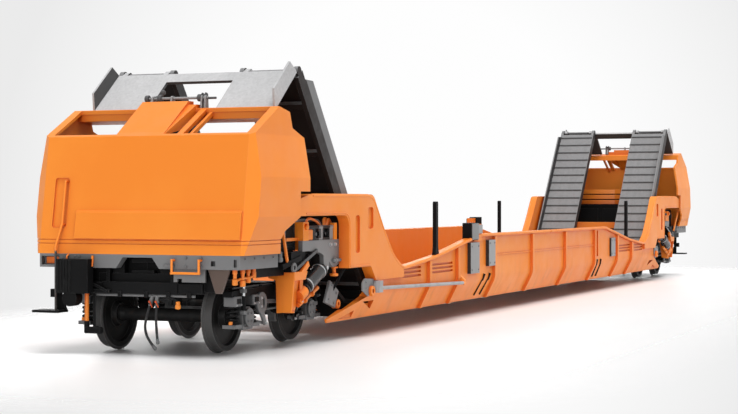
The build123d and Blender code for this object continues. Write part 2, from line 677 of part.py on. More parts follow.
def corner_plane(side, inset):
    """The facet on a front corner: it leans back with the front face and runs out to the hood's side."""
    foot = Vector(HEAD_X, side * HOOD_FACE_HALF, DECK_TOP)
    lean = Vector(HOOD_TOP_X - HEAD_X, 0, HOOD_TOP_Z - DECK_TOP)
    across = Vector(-HOOD_FACET, side * (HOOD_HALF - HOOD_FACE_HALF), 0)
    outward = across.cross(lean).normalized() * side
    return Plane(origin=foot - outward * inset, z_dir=outward)


def hood_facets(outline, inset):
    """A side view, cut to the hood's cross section and by the facets on its front corners."""
    side_prism(outline, -HOOD_HALF - 100, HOOD_HALF + 100)
    cross_prism(hood_front(inset), HOOD_REAR_X - 200, HEAD_X, mode=Mode.INTERSECT)
    for side in SIDES:
        split(bisect_by=corner_plane(side, inset), keep=Keep.BOTTOM)


def front_x(z):
    """Where the hood's front face stands, along the car, at a height."""
    return HEAD_X - (HEAD_X - HOOD_TOP_X) * (z - DECK_TOP) / (HOOD_TOP_Z - DECK_TOP)


def hood_core(inset):
    """Side view of the space inside the hood's front, in by a thickness, open to the back."""
    return [(HEAD_X - inset, DECK_TOP), (HOOD_TOP_X - inset, HOOD_TOP_Z - inset / 2),
            (HOOD_RIDGE_X - 10, HOOD_RIDGE_Z - inset - 5), (HOOD_REAR_X - 100, HOOD_RIDGE_Z - inset - 5),
            (HOOD_REAR_X - 100, DECK_TOP)]


with BuildPart() as hood_hollow:
    hood_facets(hood_core(HOOD_WALL), HOOD_WALL)

with BuildPart() as hood_seams:
    hood_facets(hood_core(SEAM_DEPTH), SEAM_DEPTH)

with BuildPart() as hood_cuts:
    for z in (1330, 1376):
        block(HOOD_REAR_X, HEAD_X + 50, -HOOD_HALF - 50, HOOD_HALF + 50, z, z + SEAM_HEIGHT)
    add(hood_seams.part, mode=Mode.SUBTRACT)

# The hump's side falls away to the ridge beside it
with BuildPart() as hump_cheek:
    plan_prism([(11940, 200), (11150, 200), (11150, 335)], 2600, HUMP_TOP)
    cheek = [(11940, 2625), (HOOD_RIDGE_X, HUMP_TOP - 45), (11150, HUMP_TOP - 45), (11150, 2800),
             (11270, 2780)]
    side_prism(cheek, 150, 400, mode=Mode.INTERSECT)

# Shallow pocket behind the grab bar
with BuildPart() as hood_pocket:
    pocket = [(-1225, 1520), (-1025, 1520), (-1025, 2130), (-1225, 2130)]
    cross_prism(pocket, HOOD_TOP_X, HEAD_X, [(corner, 35) for corner in pocket])
    slab = [(front_x(1500) - POCKET_DEPTH, 1500), (front_x(1500) + 50, 1500),
            (front_x(2150) + 50, 2150), (front_x(2150) - POCKET_DEPTH, 2150)]
    side_prism(slab, -1260, -980, mode=Mode.INTERSECT)

opening_out = HOOD_HALF - HOOD_TOP_IN - HOOD_RAIL
# Start and end across the hood, drop below the top: sloped rails in the right opening
HOOD_RAILS = ((375, 455, 5), (500, 540, 45))
with BuildPart() as hood:
    hood_facets(hood_side, 0)
    add(hood_hollow.part, mode=Mode.SUBTRACT)
    for y0, y1 in ((-opening_out, -440), (190, opening_out)):
        block(HOOD_RIDGE_X + 10, HOOD_TOP_X - 45, y0, y1, HOOD_TOP_Z - 70, HUMP_TOP, mode=Mode.SUBTRACT)
    ridge = [(HOOD_RIDGE_X, HOOD_RIDGE_Z), (RIDGE_BACK_X, HOOD_RIDGE_Z - RIDGE_DROP), (10960, 2820),
             (HOOD_RIDGE_X - 10, 2850)]
    ridge_half = HOOD_HALF - HOOD_TOP_IN - HOOD_WALL
    side_prism(ridge, -ridge_half, ridge_half)
    hump = [(HOOD_TOP_X - 5, HOOD_TOP_Z - 10), (HOOD_RIDGE_X, HUMP_TOP), (11150, HUMP_TOP), (11150, 2850),
            (HOOD_RIDGE_X - 10, 2850), (HOOD_TOP_X - 60, HOOD_TOP_Z - 30)]
    side_prism(hump, -450, 200)
    add(hump_cheek.part)
    for y0, y1, drop in HOOD_RAILS:
        rail = [(HOOD_TOP_X - 20, HOOD_TOP_Z - drop), (HOOD_RIDGE_X - 5, HOOD_RIDGE_Z - drop),
                (HOOD_RIDGE_X - 5, HOOD_RIDGE_Z - drop - 55), (HOOD_TOP_X - 20, HOOD_TOP_Z - drop - 55)]
        side_prism(rail, y0, y1)
    fascia = [(front_x(1395), 1395), (front_x(1395) + FASCIA_PROUD, 1395),
              (front_x(FASCIA_TOP) + FASCIA_PROUD, FASCIA_TOP), (front_x(FASCIA_TOP + 25), FASCIA_TOP + 25),
              (front_x(1700) - 20, 1700)]
    side_prism(fascia, -884, HEAD_HALF - 6)
    add(hood_cuts.part, mode=Mode.SUBTRACT)
    add(hood_pocket.part, mode=Mode.SUBTRACT)
save_ends(hood.part, "hood")

# Equipment box on the deck, inside the hood, with a lid and door frames
with BuildPart() as equipment_box:
    block(10250, 11000, -900, 900, DECK_TOP, 1715)
    block(10225, 11025, -925, 925, 1715, 1745)
    for y in (-600, 0, 600):
        block(10235, 10250, y - 240, y + 240, DECK_TOP + 60, 1650)
save_both(equipment_box.part, "equipment_boxes")

# Arched lock brackets, from the gooseneck's leg to the bolster, each with a lug for the jack's cylinder
CYLINDER_TOP = (9720, 970)
CYLINDER_FOOT = (10330, 710)
CYLINDER_R = 66
cylinder_way = Vector(CYLINDER_TOP[0] - CYLINDER_FOOT[0], CYLINDER_TOP[1] - CYLINDER_FOOT[1]).normalized()
lug_side = (-cylinder_way.Y * (CYLINDER_R + 8), cylinder_way.X * (CYLINDER_R + 8))
lug = [
    (CYLINDER_TOP[0] - lug_side[0], CYLINDER_TOP[1] - lug_side[1]),
    (CYLINDER_TOP[0] + lug_side[0], CYLINDER_TOP[1] + lug_side[1]),
    (9610, 960),
    (9560, 1110),
    (9760, 1190),
]
bracket_out = GOOSE_IN
bracket_in = bracket_out - BRACKET_THICK
with BuildPart() as lock_brackets:
    arch = [(10400, BRACKET_TOP), (9155, BRACKET_TOP), (9155, 1064), (9400, 975), (9470, 985), (9640, 1100),
            (9850, 1180), (10150, DECK_TOP), (10400, DECK_TOP)]
    side_prism(arch, bracket_in, bracket_out, [((9640, 1100), 120), ((9850, 1180), 300)])
    side_prism(lug, bracket_in, bracket_out)
    mirror(about=Plane.XZ)
save_ends(lock_brackets.part, "lock_brackets")

# Jacks under the ends of the bolster: a tapered leg on a foot, with a socket and a stay arm
JACK_BOTTOM = 450
JACK_OUT = BOLSTER_REACH - 10
JACK_IN = JACK_OUT - 230
jack_y = (bracket_in + bracket_out) / 2
socket_start = (CYLINDER_FOOT[0] - cylinder_way.X * 170, CYLINDER_FOOT[1] - cylinder_way.Y * 170)
with BuildPart() as jacks:
    foot_top = JACK_BOTTOM + 20
    leg = [(10400, FRAME_BOTTOM), (10720, FRAME_BOTTOM), (10700, 860), (10650, foot_top), (10490, foot_top)]
    side_prism(leg, JACK_IN, JACK_OUT)
    taper = [(JACK_IN + 20, FRAME_BOTTOM), (JACK_OUT, FRAME_BOTTOM), (JACK_OUT, 860),
             (JACK_OUT - 55, foot_top), (JACK_IN + 45, foot_top), (JACK_IN, 860)]
    cross_prism(taper, 10300, 10800, mode=Mode.INTERSECT)
    rod((10570, JACK_IN + 125, JACK_BOTTOM), (10570, JACK_IN + 125, foot_top), 75)
    socket_stop = (CYLINDER_FOOT[0], jack_y, CYLINDER_FOOT[1])
    rod((socket_start[0], jack_y, socket_start[1]), socket_stop, CYLINDER_R + 16)
    rod((10480, jack_y, 540), (9900, jack_y, 735), 30)
    mirror(about=Plane.XZ)
save_ends(jacks.part, "jacks")

with BuildPart() as jack_cylinders:
    cylinder_stop = (CYLINDER_TOP[0], jack_y, CYLINDER_TOP[1])
    rod((CYLINDER_FOOT[0], jack_y, CYLINDER_FOOT[1]), cylinder_stop, CYLINDER_R)
    mirror(about=Plane.XZ)
save_both(jack_cylinders.part, "jack_cylinders")

# Valve gear on the lock brackets, inside the goosenecks' openings: a frame with two windows, and a manifold
with BuildPart() as valve_gear:
    block(9430, 10190, bracket_in + 15, bracket_in + 45, BRACKET_TOP, 1530)
    for x0, x1 in ((9545, 9735), (9800, 9985)):
        block(x0, x1, bracket_in + 15, bracket_in + 45, 1370, 1500, mode=Mode.SUBTRACT)
    block(9330, 9420, bracket_in, bracket_out, BRACKET_TOP, 1560)
    block(10215, 10380, bracket_in - 60, bracket_out, BRACKET_TOP, 1580)
    rod((9375, bracket_in + 30, 1510), (10300, bracket_in + 30, 1510), 22)
    mirror(about=Plane.XZ)
save_both(valve_gear.part, "valve_gear")

# Foot step on a hanger under the headstock's corner
STEP_Y = -1110
STEP_TOP = 530
with BuildPart() as footsteps:
    block(HEAD_X - 60, HEAD_X - 30, STEP_Y - 32, STEP_Y + 32, 500, HEAD_BOTTOM)
    block(HEAD_X - 60, HEAD_X + 180, STEP_Y - 250, STEP_Y + 110, 500, STEP_TOP)
    brace = [(STEP_Y + 32, STEP_TOP), (STEP_Y + 100, STEP_TOP), (STEP_Y + 32, 690)]
    cross_prism(brace, HEAD_X - 60, HEAD_X - 30)
    block(HEAD_X - 60, HEAD_X + 20, STEP_Y - 92, STEP_Y - 32, 680, 780)
save_both(footsteps.part, "footsteps")

# Brake box hung on the headstock's front, with a round cylinder below it
BOX_Y = -830
with BuildPart() as brake_boxes:
    block(HEAD_X, HEAD_X + 130, BOX_Y - 220, BOX_Y + 220, GUARD_BOTTOM, 1150)
    for y in range(-200, 0, 40):
        block(HEAD_X + 130, HEAD_X + 142, BOX_Y + y, BOX_Y + y + 20, GUARD_BOTTOM + 20, 1140)
    rod((HEAD_X - 20, BOX_Y - 40, GUARD_BOTTOM - 60), (HEAD_X + 120, BOX_Y - 40, GUARD_BOTTOM - 60), 100)
save_both(brake_boxes.part, "brake_boxes")

# Handrails: the grab bar from the hood's corner down to the step, and the handle on the hanger plate
GRAB_Y = -1055
hood_lean = atan2(HEAD_X - HOOD_TOP_X, HOOD_TOP_Z - DECK_TOP)
grab_out = (GRAB_REACH * cos(hood_lean), GRAB_REACH * sin(hood_lean))
grab_ends = []
with BuildPart() as handrails:
    for z in (1560, 2080):
        foot = (front_x(z) - POCKET_DEPTH, GRAB_Y, z)
        grab_ends.append((foot[0] + grab_out[0], GRAB_Y, z + grab_out[1]))
        rod(foot, grab_ends[-1], GRAB_R)
    with BuildLine() as grab_path:
        FilletPolyline(grab_ends[1], grab_ends[0], (HEAD_X + GRAB_REACH, STEP_Y + 12, 1300),
                       (HEAD_X + GRAB_REACH, STEP_Y + 12, STEP_TOP), radius=150)
    with BuildSketch(Plane(origin=grab_path.line @ 0, z_dir=grab_path.line % 0)):
        Circle(GRAB_R)
    sweep(path=grab_path.line)
    for y in (500, 860):
        rod((HEAD_X, y, 1150), (HEAD_X + GRAB_REACH, y, 1150), GRAB_R)
        rod((HEAD_X + GRAB_REACH, y, 1150 + GRAB_R), (HEAD_X + GRAB_REACH, y, 1000 - GRAB_R), GRAB_R)
    rod((HEAD_X + GRAB_REACH, 500 - GRAB_R, 1000), (HEAD_X + GRAB_REACH, 860 + GRAB_R, 1000), GRAB_R)
save_both(handrails.part, "handrails")

# Shaft that works the flaps, on clevis plates over the hump and the ridge
SHAFT_X = 11215
SHAFT_Z = HUMP_TOP + 40


def ridge_z(x):
    """Height of the ridge's top face at a distance along the car."""
    return HOOD_RIDGE_Z - RIDGE_DROP * (HOOD_RIDGE_X - x) / (HOOD_RIDGE_X - RIDGE_BACK_X)


with BuildPart() as flap_shafts:
    rod((SHAFT_X, -430, SHAFT_Z), (SHAFT_X, 440, SHAFT_Z), 17)
    back = SHAFT_X - 45
    front = SHAFT_X + 45
    # Middle across the hood, heights of the foot behind and in front
    EARS = ((-330, HUMP_TOP, HUMP_TOP), (-60, HUMP_TOP, HUMP_TOP),
            (360, ridge_z(back), ridge_z(front)), (410, ridge_z(back), ridge_z(front)))
    for y, foot_back, foot_front in EARS:
        ear = [(back, foot_back), (front, foot_front), (SHAFT_X + 32, SHAFT_Z + 30),
               (SHAFT_X - 32, SHAFT_Z + 30)]
        side_prism(ear, y - 12, y + 12, [(ear[2], 26), (ear[3], 26)])
save_both(flap_shafts.part, "flap_shafts")

# Wheels and axles
rim_back = BACK_TO_BACK / 2
rim_front = rim_back + RIM_WIDTH
rim_inner = TREAD_R - RIM_DEPTH
web_back = rim_back + 50
hub_back = rim_back - 15
wheel_section = [
    (hub_back, SEAT_R + PRESS_GAP),
    (hub_back + HUB_LENGTH, SEAT_R + PRESS_GAP),
    (hub_back + HUB_LENGTH, HUB_R),
    (web_back + WEB_THICK + 10, HUB_R + 35),
    (web_back + WEB_THICK, rim_inner - 15),
    (rim_front, rim_inner),
    (rim_front, TREAD_R - 3),
    (rim_back + 33, TREAD_R),
    (rim_back + 27, TREAD_R + FLANGE_HEIGHT * 0.55),
    (rim_back + 17, TREAD_R + FLANGE_HEIGHT),
    (rim_back + 10, TREAD_R + FLANGE_HEIGHT),
    (rim_back, TREAD_R + FLANGE_HEIGHT * 0.4),
    (rim_back, rim_inner),
    (web_back, rim_inner - 15),
    (web_back - 10, HUB_R + 35),
    (hub_back, HUB_R),
]
axle_section = [
    (0, 0),
    (0, AXLE_R),
    (hub_back - 90, AXLE_R),
    (hub_back - 30, SEAT_R),
    (hub_back + HUB_LENGTH, SEAT_R),
    (hub_back + HUB_LENGTH + 35, JOURNAL_R),
    (AXLE_LENGTH / 2, JOURNAL_R),
    (AXLE_LENGTH / 2, 0),
]


def turned(points, x):
    """A section in Y and radius, turned round an axle at a distance along the car."""
    with BuildSketch(Plane((x, 0, AXLE_Z), x_dir=(0, 1, 0), z_dir=(1, 0, 0))) as profile:
        with BuildLine():
            Polyline(*points, close=True)
        make_face()
    revolve(profile.sketch, axis=Axis((x, 0, AXLE_Z), (0, 1, 0)))


# Number of each wheelset, distance along the car
AXLES = (("1", -BOGIE_X - WHEELBASE / 2), ("2", -BOGIE_X + WHEELBASE / 2),
         ("3", BOGIE_X - WHEELBASE / 2), ("4", BOGIE_X + WHEELBASE / 2))
for number, x in AXLES:
    with BuildPart() as wheels:
        turned(wheel_section, x)
        mirror(about=Plane.XZ)
    save(wheels.part, f"wheels_{number}")
    with BuildPart() as axle:
        turned(axle_section, x)
        mirror(about=Plane.XZ)
    save(axle.part, f"axle_{number}")

# Bogie frame: fish-bellied side frames and the transom that carries the pivot
axle_x = (BOGIE_X - WHEELBASE / 2, BOGIE_X + WHEELBASE / 2)
frame_in = JOURNAL_Y - SIDE_FRAME_WIDTH / 2
belly = [(BOGIE_X - 560, SIDE_FRAME_BOTTOM), (BOGIE_X - 440, TRANSOM_BOTTOM),
         (BOGIE_X + 440, TRANSOM_BOTTOM), (BOGIE_X + 560, SIDE_FRAME_BOTTOM)]
with BuildPart() as bogie_frame:
    side_right = BOGIE_X + SIDE_FRAME_HALF
    side_left = BOGIE_X - SIDE_FRAME_HALF
    side_view = [(side_right, SIDE_FRAME_BOTTOM), (side_right, SIDE_FRAME_TOP - 30),
                 (BOGIE_X + 420, SIDE_FRAME_TOP), (BOGIE_X - 420, SIDE_FRAME_TOP),
                 (side_left, SIDE_FRAME_TOP - 30), (side_left, SIDE_FRAME_BOTTOM)]
    side_view = side_view + belly
    side_prism(side_view, frame_in, frame_in + SIDE_FRAME_WIDTH, [(corner, 60) for corner in belly])
    mirror(about=Plane.XZ)
    block(BOGIE_X - TRANSOM_HALF, BOGIE_X + TRANSOM_HALF, -frame_in, frame_in, TRANSOM_BOTTOM, TRANSOM_TOP)
    rod((BOGIE_X, 0, TRANSOM_BOTTOM), (BOGIE_X, 0, TRANSOM_TOP), PIVOT_PIN_R + RUN_GAP, mode=Mode.SUBTRACT)
save_ends(bogie_frame.part, "bogie_frame")

# Axle boxes on the journals: an arched housing between two spring wings, closed by a round cap
box_in = JOURNAL_Y - BOX_WIDTH / 2
box_out = JOURNAL_Y + BOX_WIDTH / 2
box_bottom = AXLE_Z - BOX_HALF
wing_top = box_bottom + WING_THICK
with BuildPart() as axle_boxes:
    for x in axle_x:
        housing = [(x - WING_REACH, box_bottom), (x + WING_REACH, box_bottom), (x + WING_REACH, wing_top),
                   (x + BOX_HALF, wing_top), (x + BOX_HALF, AXLE_Z + 40), (x + 70, AXLE_Z + BOX_HALF),
                   (x - 70, AXLE_Z + BOX_HALF), (x - BOX_HALF, AXLE_Z + 40), (x - BOX_HALF, wing_top),
                   (x - WING_REACH, wing_top)]
        side_prism(housing, box_in, box_out, [(housing[5], 40), (housing[6], 40)])
        rod((x, box_out, AXLE_Z), (x, box_out + BOX_CAP_DEPTH, AXLE_Z), BOX_CAP_R)
        bore_end = (x, AXLE_LENGTH / 2 + RUN_GAP, AXLE_Z)
        rod((x, box_in, AXLE_Z), bore_end, JOURNAL_R + RUN_GAP, mode=Mode.SUBTRACT)
    mirror(about=Plane.XZ)
save_ends(axle_boxes.part, "axle_boxes")

# Coil springs between the wings and the side frame, each coil a round ridge
coil_pitch = (SIDE_FRAME_BOTTOM - wing_top) / SPRING_COILS
with BuildPart() as springs:
    for x in axle_x:
        for shift in (-SPRING_X, SPRING_X):
            foot = (x + shift, JOURNAL_Y, wing_top)
            with BuildSketch(Plane(foot, x_dir=(1, 0, 0), z_dir=(0, -1, 0))) as coils:
                with BuildLine():
                    outline = [(SPRING_R - SPRING_WIRE, 0)]
                    for number in range(SPRING_COILS):
                        low = number * coil_pitch
                        outline.append((SPRING_R - 8, low))
                        outline.append((SPRING_R, low + coil_pitch * 0.25))
                        outline.append((SPRING_R, low + coil_pitch * 0.5))
                        outline.append((SPRING_R - 8, low + coil_pitch * 0.75))
                        outline.append((SPRING_R - 16, low + coil_pitch * 0.87))
                    top = SPRING_COILS * coil_pitch
                    outline.append((SPRING_R - 8, top))
                    outline.append((SPRING_R - SPRING_WIRE, top))
                    Polyline(*outline, close=True)
                make_face()
            revolve(coils.sketch, axis=Axis(foot, (0, 0, 1)))
    mirror(about=Plane.XZ)
save_ends(springs.part, "springs")

# Brake rigging: a shoe on the inner side of each wheel, its hanger, and a beam across each axle's pair
shoe_mid = rim_back + 36 + SHOE_WIDTH / 2
with BuildPart() as brake_rigging:
    for side, x in zip((1, -1), axle_x):
        with BuildSketch(Plane.XZ.offset(-shoe_mid - SHOE_WIDTH / 2)) as shoe:
            with Locations((x, AXLE_Z)):
                Circle(TREAD_R + SHOE_GAP + SHOE_THICK)
                Circle(TREAD_R + SHOE_GAP, mode=Mode.SUBTRACT)
            with Locations((x + side * TREAD_R, AXLE_Z)):
                Rectangle(300, 2 * SHOE_HALF_HEIGHT, mode=Mode.INTERSECT)
        extrude(shoe.sketch, amount=SHOE_WIDTH)
        back = x + side * (TREAD_R + SHOE_GAP + SHOE_THICK - 12)
        face = BOGIE_X - side * TRANSOM_HALF
        hanger = [(back, AXLE_Z - 40), (back + side * 46, AXLE_Z - 40),
                  (back + side * 42, TRANSOM_BOTTOM + 30), (face, TRANSOM_BOTTOM + 30),
                  (face, TRANSOM_BOTTOM + 110), (back - side * 4, TRANSOM_BOTTOM + 110)]
        side_prism(hanger, shoe_mid - 26, shoe_mid + 26)
    mirror(about=Plane.XZ)
    for side, x in zip((1, -1), axle_x):
        back = x + side * (TREAD_R + SHOE_GAP + SHOE_THICK + 12)
        rod((back, -shoe_mid, AXLE_Z - 5), (back, shoe_mid, AXLE_Z - 5), BRAKE_BEAM_R)
save_ends(brake_rigging.part, "brake_rigging")
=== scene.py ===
import math

import bpy
import numpy as np
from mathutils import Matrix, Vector


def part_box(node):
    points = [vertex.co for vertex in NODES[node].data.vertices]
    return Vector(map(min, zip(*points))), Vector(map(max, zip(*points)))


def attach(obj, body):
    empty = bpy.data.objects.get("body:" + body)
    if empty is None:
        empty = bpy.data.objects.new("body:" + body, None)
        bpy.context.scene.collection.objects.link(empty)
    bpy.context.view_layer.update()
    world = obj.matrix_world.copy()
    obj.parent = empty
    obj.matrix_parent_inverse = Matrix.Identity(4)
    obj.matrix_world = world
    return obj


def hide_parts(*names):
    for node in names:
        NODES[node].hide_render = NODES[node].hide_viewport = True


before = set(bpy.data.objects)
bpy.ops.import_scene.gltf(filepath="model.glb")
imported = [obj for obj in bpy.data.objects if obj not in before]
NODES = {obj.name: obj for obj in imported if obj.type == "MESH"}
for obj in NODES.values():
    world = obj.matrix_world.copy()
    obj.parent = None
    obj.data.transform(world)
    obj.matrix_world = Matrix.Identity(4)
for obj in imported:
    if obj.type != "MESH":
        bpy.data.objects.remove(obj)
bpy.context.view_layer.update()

bl_info = {
    "name": "Low-floor rail car",
    "version": (1, 0, 0),
    "blender": (4, 5, 0),
    "location": "3D View > Sidebar > Rail car",
    "description": "Finishes, fittings and stage for a low-floor rail car with folding ramps",
    "category": "Object",
}

SHARP_ANGLE = math.radians(34)

# Places on the car, in metres, at the far end; the near end is the same turned half round
BOGIE_X = 10.53
AXLE_OFFSETS = (-0.9, 0.9)
AXLE_Z = 0.448
JOURNAL_Y = 1.0
SPRING_SHIFTS = (-0.235, 0.235)
HEAD_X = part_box("headstock_far")[1][0]
HEAD_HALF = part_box("headstock_far")[1][1]
HOSE_X = HEAD_X - 0.09
DECK_TOP = 1.21
WALL_OUT = 1.44
GOOSE_OUT = 1.49
GOOSE_IN = 1.34
RAMP_SLOPE = math.radians(52.3)
LEAF_FOOT = (7.9289, 0.438)
ENDS = (("far", 1.0), ("near", -1.0))

# The camera: the photo's width and focal length in pixels, place in metres, heading and tilt
PHOTO_WIDTH = 738
PHOTO_FOCAL = 1685.4
SENSOR_WIDTH = 36.0
CAMERA_PLACE = (-29.606, -10.263, 1.869)
CAMERA_YAW = math.radians(22.665)
CAMERA_PITCH = math.radians(-0.266)


# Sizes and colours

class RailCarSizes(bpy.types.PropertyGroup):
    """Sizes of the springs and edges."""
    coil_wire: bpy.props.FloatProperty(
        name="Spring wire", description="Radius of the bogie springs' wire", default=0.0135, unit="LENGTH")
    coil_turns: bpy.props.FloatProperty(
        name="Spring turns", description="Turns in each bogie spring", default=6.5)
    edge: bpy.props.FloatProperty(
        name="Edge rounding", description="Radius that edges are softened by", default=0.008, unit="LENGTH")


class RailCarColours(bpy.types.PropertyGroup):
    """Colours of the finishes."""
    orange: bpy.props.FloatVectorProperty(
        name="Orange paint", description="Body paint", subtype="COLOR", default=(0.90, 0.275, 0.026))
    orange_deep: bpy.props.FloatVectorProperty(
        name="Shaded orange", description="Body paint where it is dull", subtype="COLOR",
        default=(0.86, 0.235, 0.018))
    grey: bpy.props.FloatVectorProperty(
        name="Grey paint", description="Headstocks, axle boxes and brake gear", subtype="COLOR",
        default=(0.175, 0.175, 0.177))
    ramp: bpy.props.FloatVectorProperty(
        name="Ramp steel", description="Ramp leaves", subtype="COLOR", default=(0.235, 0.235, 0.238))
    flap: bpy.props.FloatVectorProperty(
        name="Flap steel", description="Flaps at the top of the ramps", subtype="COLOR",
        default=(0.50, 0.50, 0.505))
    dark: bpy.props.FloatVectorProperty(
        name="Dark paint", description="Running gear and boxes", subtype="COLOR",
        default=(0.010, 0.010, 0.0104))
    wheel: bpy.props.FloatVectorProperty(
        name="Wheel steel", description="Wheels and axles", subtype="COLOR", default=(0.013, 0.0127, 0.0127))
    bright: bpy.props.FloatVectorProperty(
        name="Bright steel", description="Pins, rings and bracket bolts", subtype="COLOR",
        default=(0.50, 0.51, 0.52))
    rubber: bpy.props.FloatVectorProperty(
        name="Hose rubber", description="Brake hoses", subtype="COLOR", default=(0.020, 0.020, 0.021))
    pale: bpy.props.FloatVectorProperty(
        name="Pale grey paint", description="Lock plates and brackets", subtype="COLOR",
        default=(0.36, 0.36, 0.362))
    brown: bpy.props.FloatVectorProperty(
        name="Brown primer", description="Gussets under the headstocks", subtype="COLOR",
        default=(0.12, 0.085, 0.07))
    # Painted shade: the dark brown of the ramps' undersides and of the lower part of their outer sides.
    rust: bpy.props.FloatVectorProperty(
        name="Shaded brown", description="Undersides and lower sides of the ramps", subtype="COLOR",
        default=(0.012, 0.008, 0.007))


class RailCarSettings(bpy.types.PropertyGroup):
    """All settings of the car."""
    sizes: bpy.props.PointerProperty(type=RailCarSizes)
    colours: bpy.props.PointerProperty(type=RailCarColours)


def settings():
    return bpy.context.scene.rail_car


# Materials

class Recipe:
    """A material's nodes, read on Object coordinates."""

    def __init__(self, name):
        name = f"finish_{name}"
        self.mat = bpy.data.materials.get(name)
        self.fresh = self.mat is None
        if self.fresh:
            self.mat = bpy.data.materials.new(name)
            self.mat.use_nodes = True
            self.tree = self.mat.node_tree
            self.shader = self.tree.nodes["Principled BSDF"]
            self.where = self.add("ShaderNodeTexCoord").outputs["Object"]

    def add(self, kind, **values):
        node = self.tree.nodes.new(kind)
        for key, value in values.items():
            setattr(node, key, value)
        return node

    def link(self, source, socket):
        """Joins a socket to another, or sets it to a number or colour."""
        if isinstance(source, bpy.types.NodeSocket):
            self.tree.links.new(source, socket)
        elif isinstance(source, (int, float)):
            socket.default_value = source
        else:
            colour = tuple(source)
            socket.default_value = colour + (1.0,) if len(colour) == 3 and socket.type == "RGBA" else colour

    def scaled(self, scale, shift=(0, 0, 0)):
        """Object coordinates, scaled along each axis and moved."""
        node = self.add("ShaderNodeMapping")
        node.inputs["Scale"].default_value = scale
        node.inputs["Location"].default_value = shift
        self.link(self.where, node.inputs["Vector"])
        return node.outputs["Vector"]

    def noise(self, scale, detail, vector=None):
        node = self.add("ShaderNodeTexNoise")
        node.inputs["Scale"].default_value = scale
        node.inputs["Detail"].default_value = detail
        node.inputs["Roughness"].default_value = 0.55
        self.link(vector or self.where, node.inputs["Vector"])
        return node.outputs["Fac"]

    def cells(self, scale):
        """A colour of its own for each cell of a crystal pattern."""
        node = self.add("ShaderNodeTexVoronoi")
        node.inputs["Scale"].default_value = scale
        self.link(self.where, node.inputs["Vector"])
        return node.outputs["Color"]

    def axis(self, letter, vector=None):
        node = self.add("ShaderNodeSeparateXYZ")
        self.link(vector or self.where, node.inputs[0])
        return node.outputs[letter]

    def math(self, operation, a, b=0.0):
        node = self.add("ShaderNodeMath", operation=operation)
        self.link(a, node.inputs[0])
        self.link(b, node.inputs[1])
        return node.outputs[0]

    def span(self, value, low, high, start=0.0, stop=1.0):
        """A value between low and high, carried to start and stop."""
        node = self.add("ShaderNodeMapRange")
        self.link(value, node.inputs["Value"])
        for key, number in (("From Min", low), ("From Max", high), ("To Min", start), ("To Max", stop)):
            node.inputs[key].default_value = number
        return node.outputs["Result"]

    def mix(self, amount, a, b, blend="MIX"):
        node = self.add("ShaderNodeMix", data_type="RGBA", blend_type=blend)
        self.link(amount, node.inputs[0])
        self.link(a, node.inputs[6])
        self.link(b, node.inputs[7])
        return node.outputs[2]

    def edge(self, radius):
        """Softened normal, and how far it leaves the true one: 0 on a face and 1 at an edge."""
        bevel = self.add("ShaderNodeBevel", samples=4)
        bevel.inputs["Radius"].default_value = radius
        normal = self.add("ShaderNodeNewGeometry").outputs["Normal"]
        dot = self.add("ShaderNodeVectorMath", operation="DOT_PRODUCT")
        self.link(bevel.outputs["Normal"], dot.inputs[0])
        self.link(normal, dot.inputs[1])
        return bevel.outputs["Normal"], self.span(dot.outputs["Value"], 0.995, 0.86)

    def crevice(self, reach):
        """How deep a place lies between its neighbours: 0 in the open and 1 in a corner."""
        node = self.add("ShaderNodeAmbientOcclusion", samples=6)
        node.inputs["Distance"].default_value = reach
        return self.span(node.outputs["AO"], 0.97, 0.42)

    def way(self, letter):
        """How far a face points along an axis."""
        return self.axis(letter, self.add("ShaderNodeNewGeometry").outputs["Normal"])

    def bump(self, height, strength, distance, normal=None):
        node = self.add("ShaderNodeBump")
        node.inputs["Strength"].default_value = strength
        node.inputs["Distance"].default_value = distance
        self.link(height, node.inputs["Height"])
        if normal is not None:
            self.link(normal, node.inputs["Normal"])
        return node.outputs["Normal"]

    def finish(self, colour, roughness, normal=None, metallic=0.0, specular=0.5):
        self.link(colour, self.shader.inputs["Base Color"])
        self.link(roughness, self.shader.inputs["Roughness"])
        self.shader.inputs["Metallic"].default_value = metallic
        self.shader.inputs["Specular IOR Level"].default_value = specular
        if normal is not None:
            self.link(normal, self.shader.inputs["Normal"])
        return self.mat


def scaled_colour(colour, amount):
    return tuple(min(1.0, v * amount) for v in colour)


def painted(name, base, dull, edge_wear_and_highlight, deep, roughness, edge_gain, grime=0.5, tint=None, gloss=0.22):
    """Paint: two close shades in large clouds, painted shade in corners, grime towards the rail, pale edges
    that are partly wear and partly painted highlight, fine orange peel. A tint may change the colour by place
    before the grime and the edges."""
    r = Recipe(name)
    if not r.fresh:
        return r.mat
    clouds = r.span(r.noise(0.45, 4.0), 0.38, 0.62)
    colour = r.mix(clouds, base, dull)
    # Painted shade: the colour turns to the deep colour where ambient occlusion finds corners and places
    # between parts.
    colour = r.mix(r.math("MULTIPLY", r.crevice(0.30), 0.85), colour, deep)
    if tint:
        colour = tint(r, colour)
    streaks = r.noise(1.0, 5.0, r.scaled((5.0, 5.0, 0.7)))
    low = r.span(r.axis("Z"), 0.95, 0.3)
    dirty = r.math("MULTIPLY", r.span(streaks, 0.5, 0.72), r.math("MULTIPLY", low, grime))
    colour = r.mix(dirty, colour, scaled_colour(base, 0.18))
    soft, worn = r.edge(settings().sizes.edge)
    patches = r.span(r.noise(7.0, 6.0), 0.40, 0.62, 0.35, 1.0)
    # Pale edges: partly paint worn through in patches, partly painted highlight along every edge.
    colour = r.mix(r.math("MULTIPLY", worn, r.math("MULTIPLY", patches, edge_gain)), colour, edge_wear_and_highlight)
    rough = r.span(r.noise(3.0, 5.0), 0.3, 0.7, roughness - 0.06, roughness + 0.08)
    peel = r.bump(r.noise(420.0, 2.0), 0.06, 0.0006, soft)
    return r.finish(colour, rough, peel, specular=gloss)


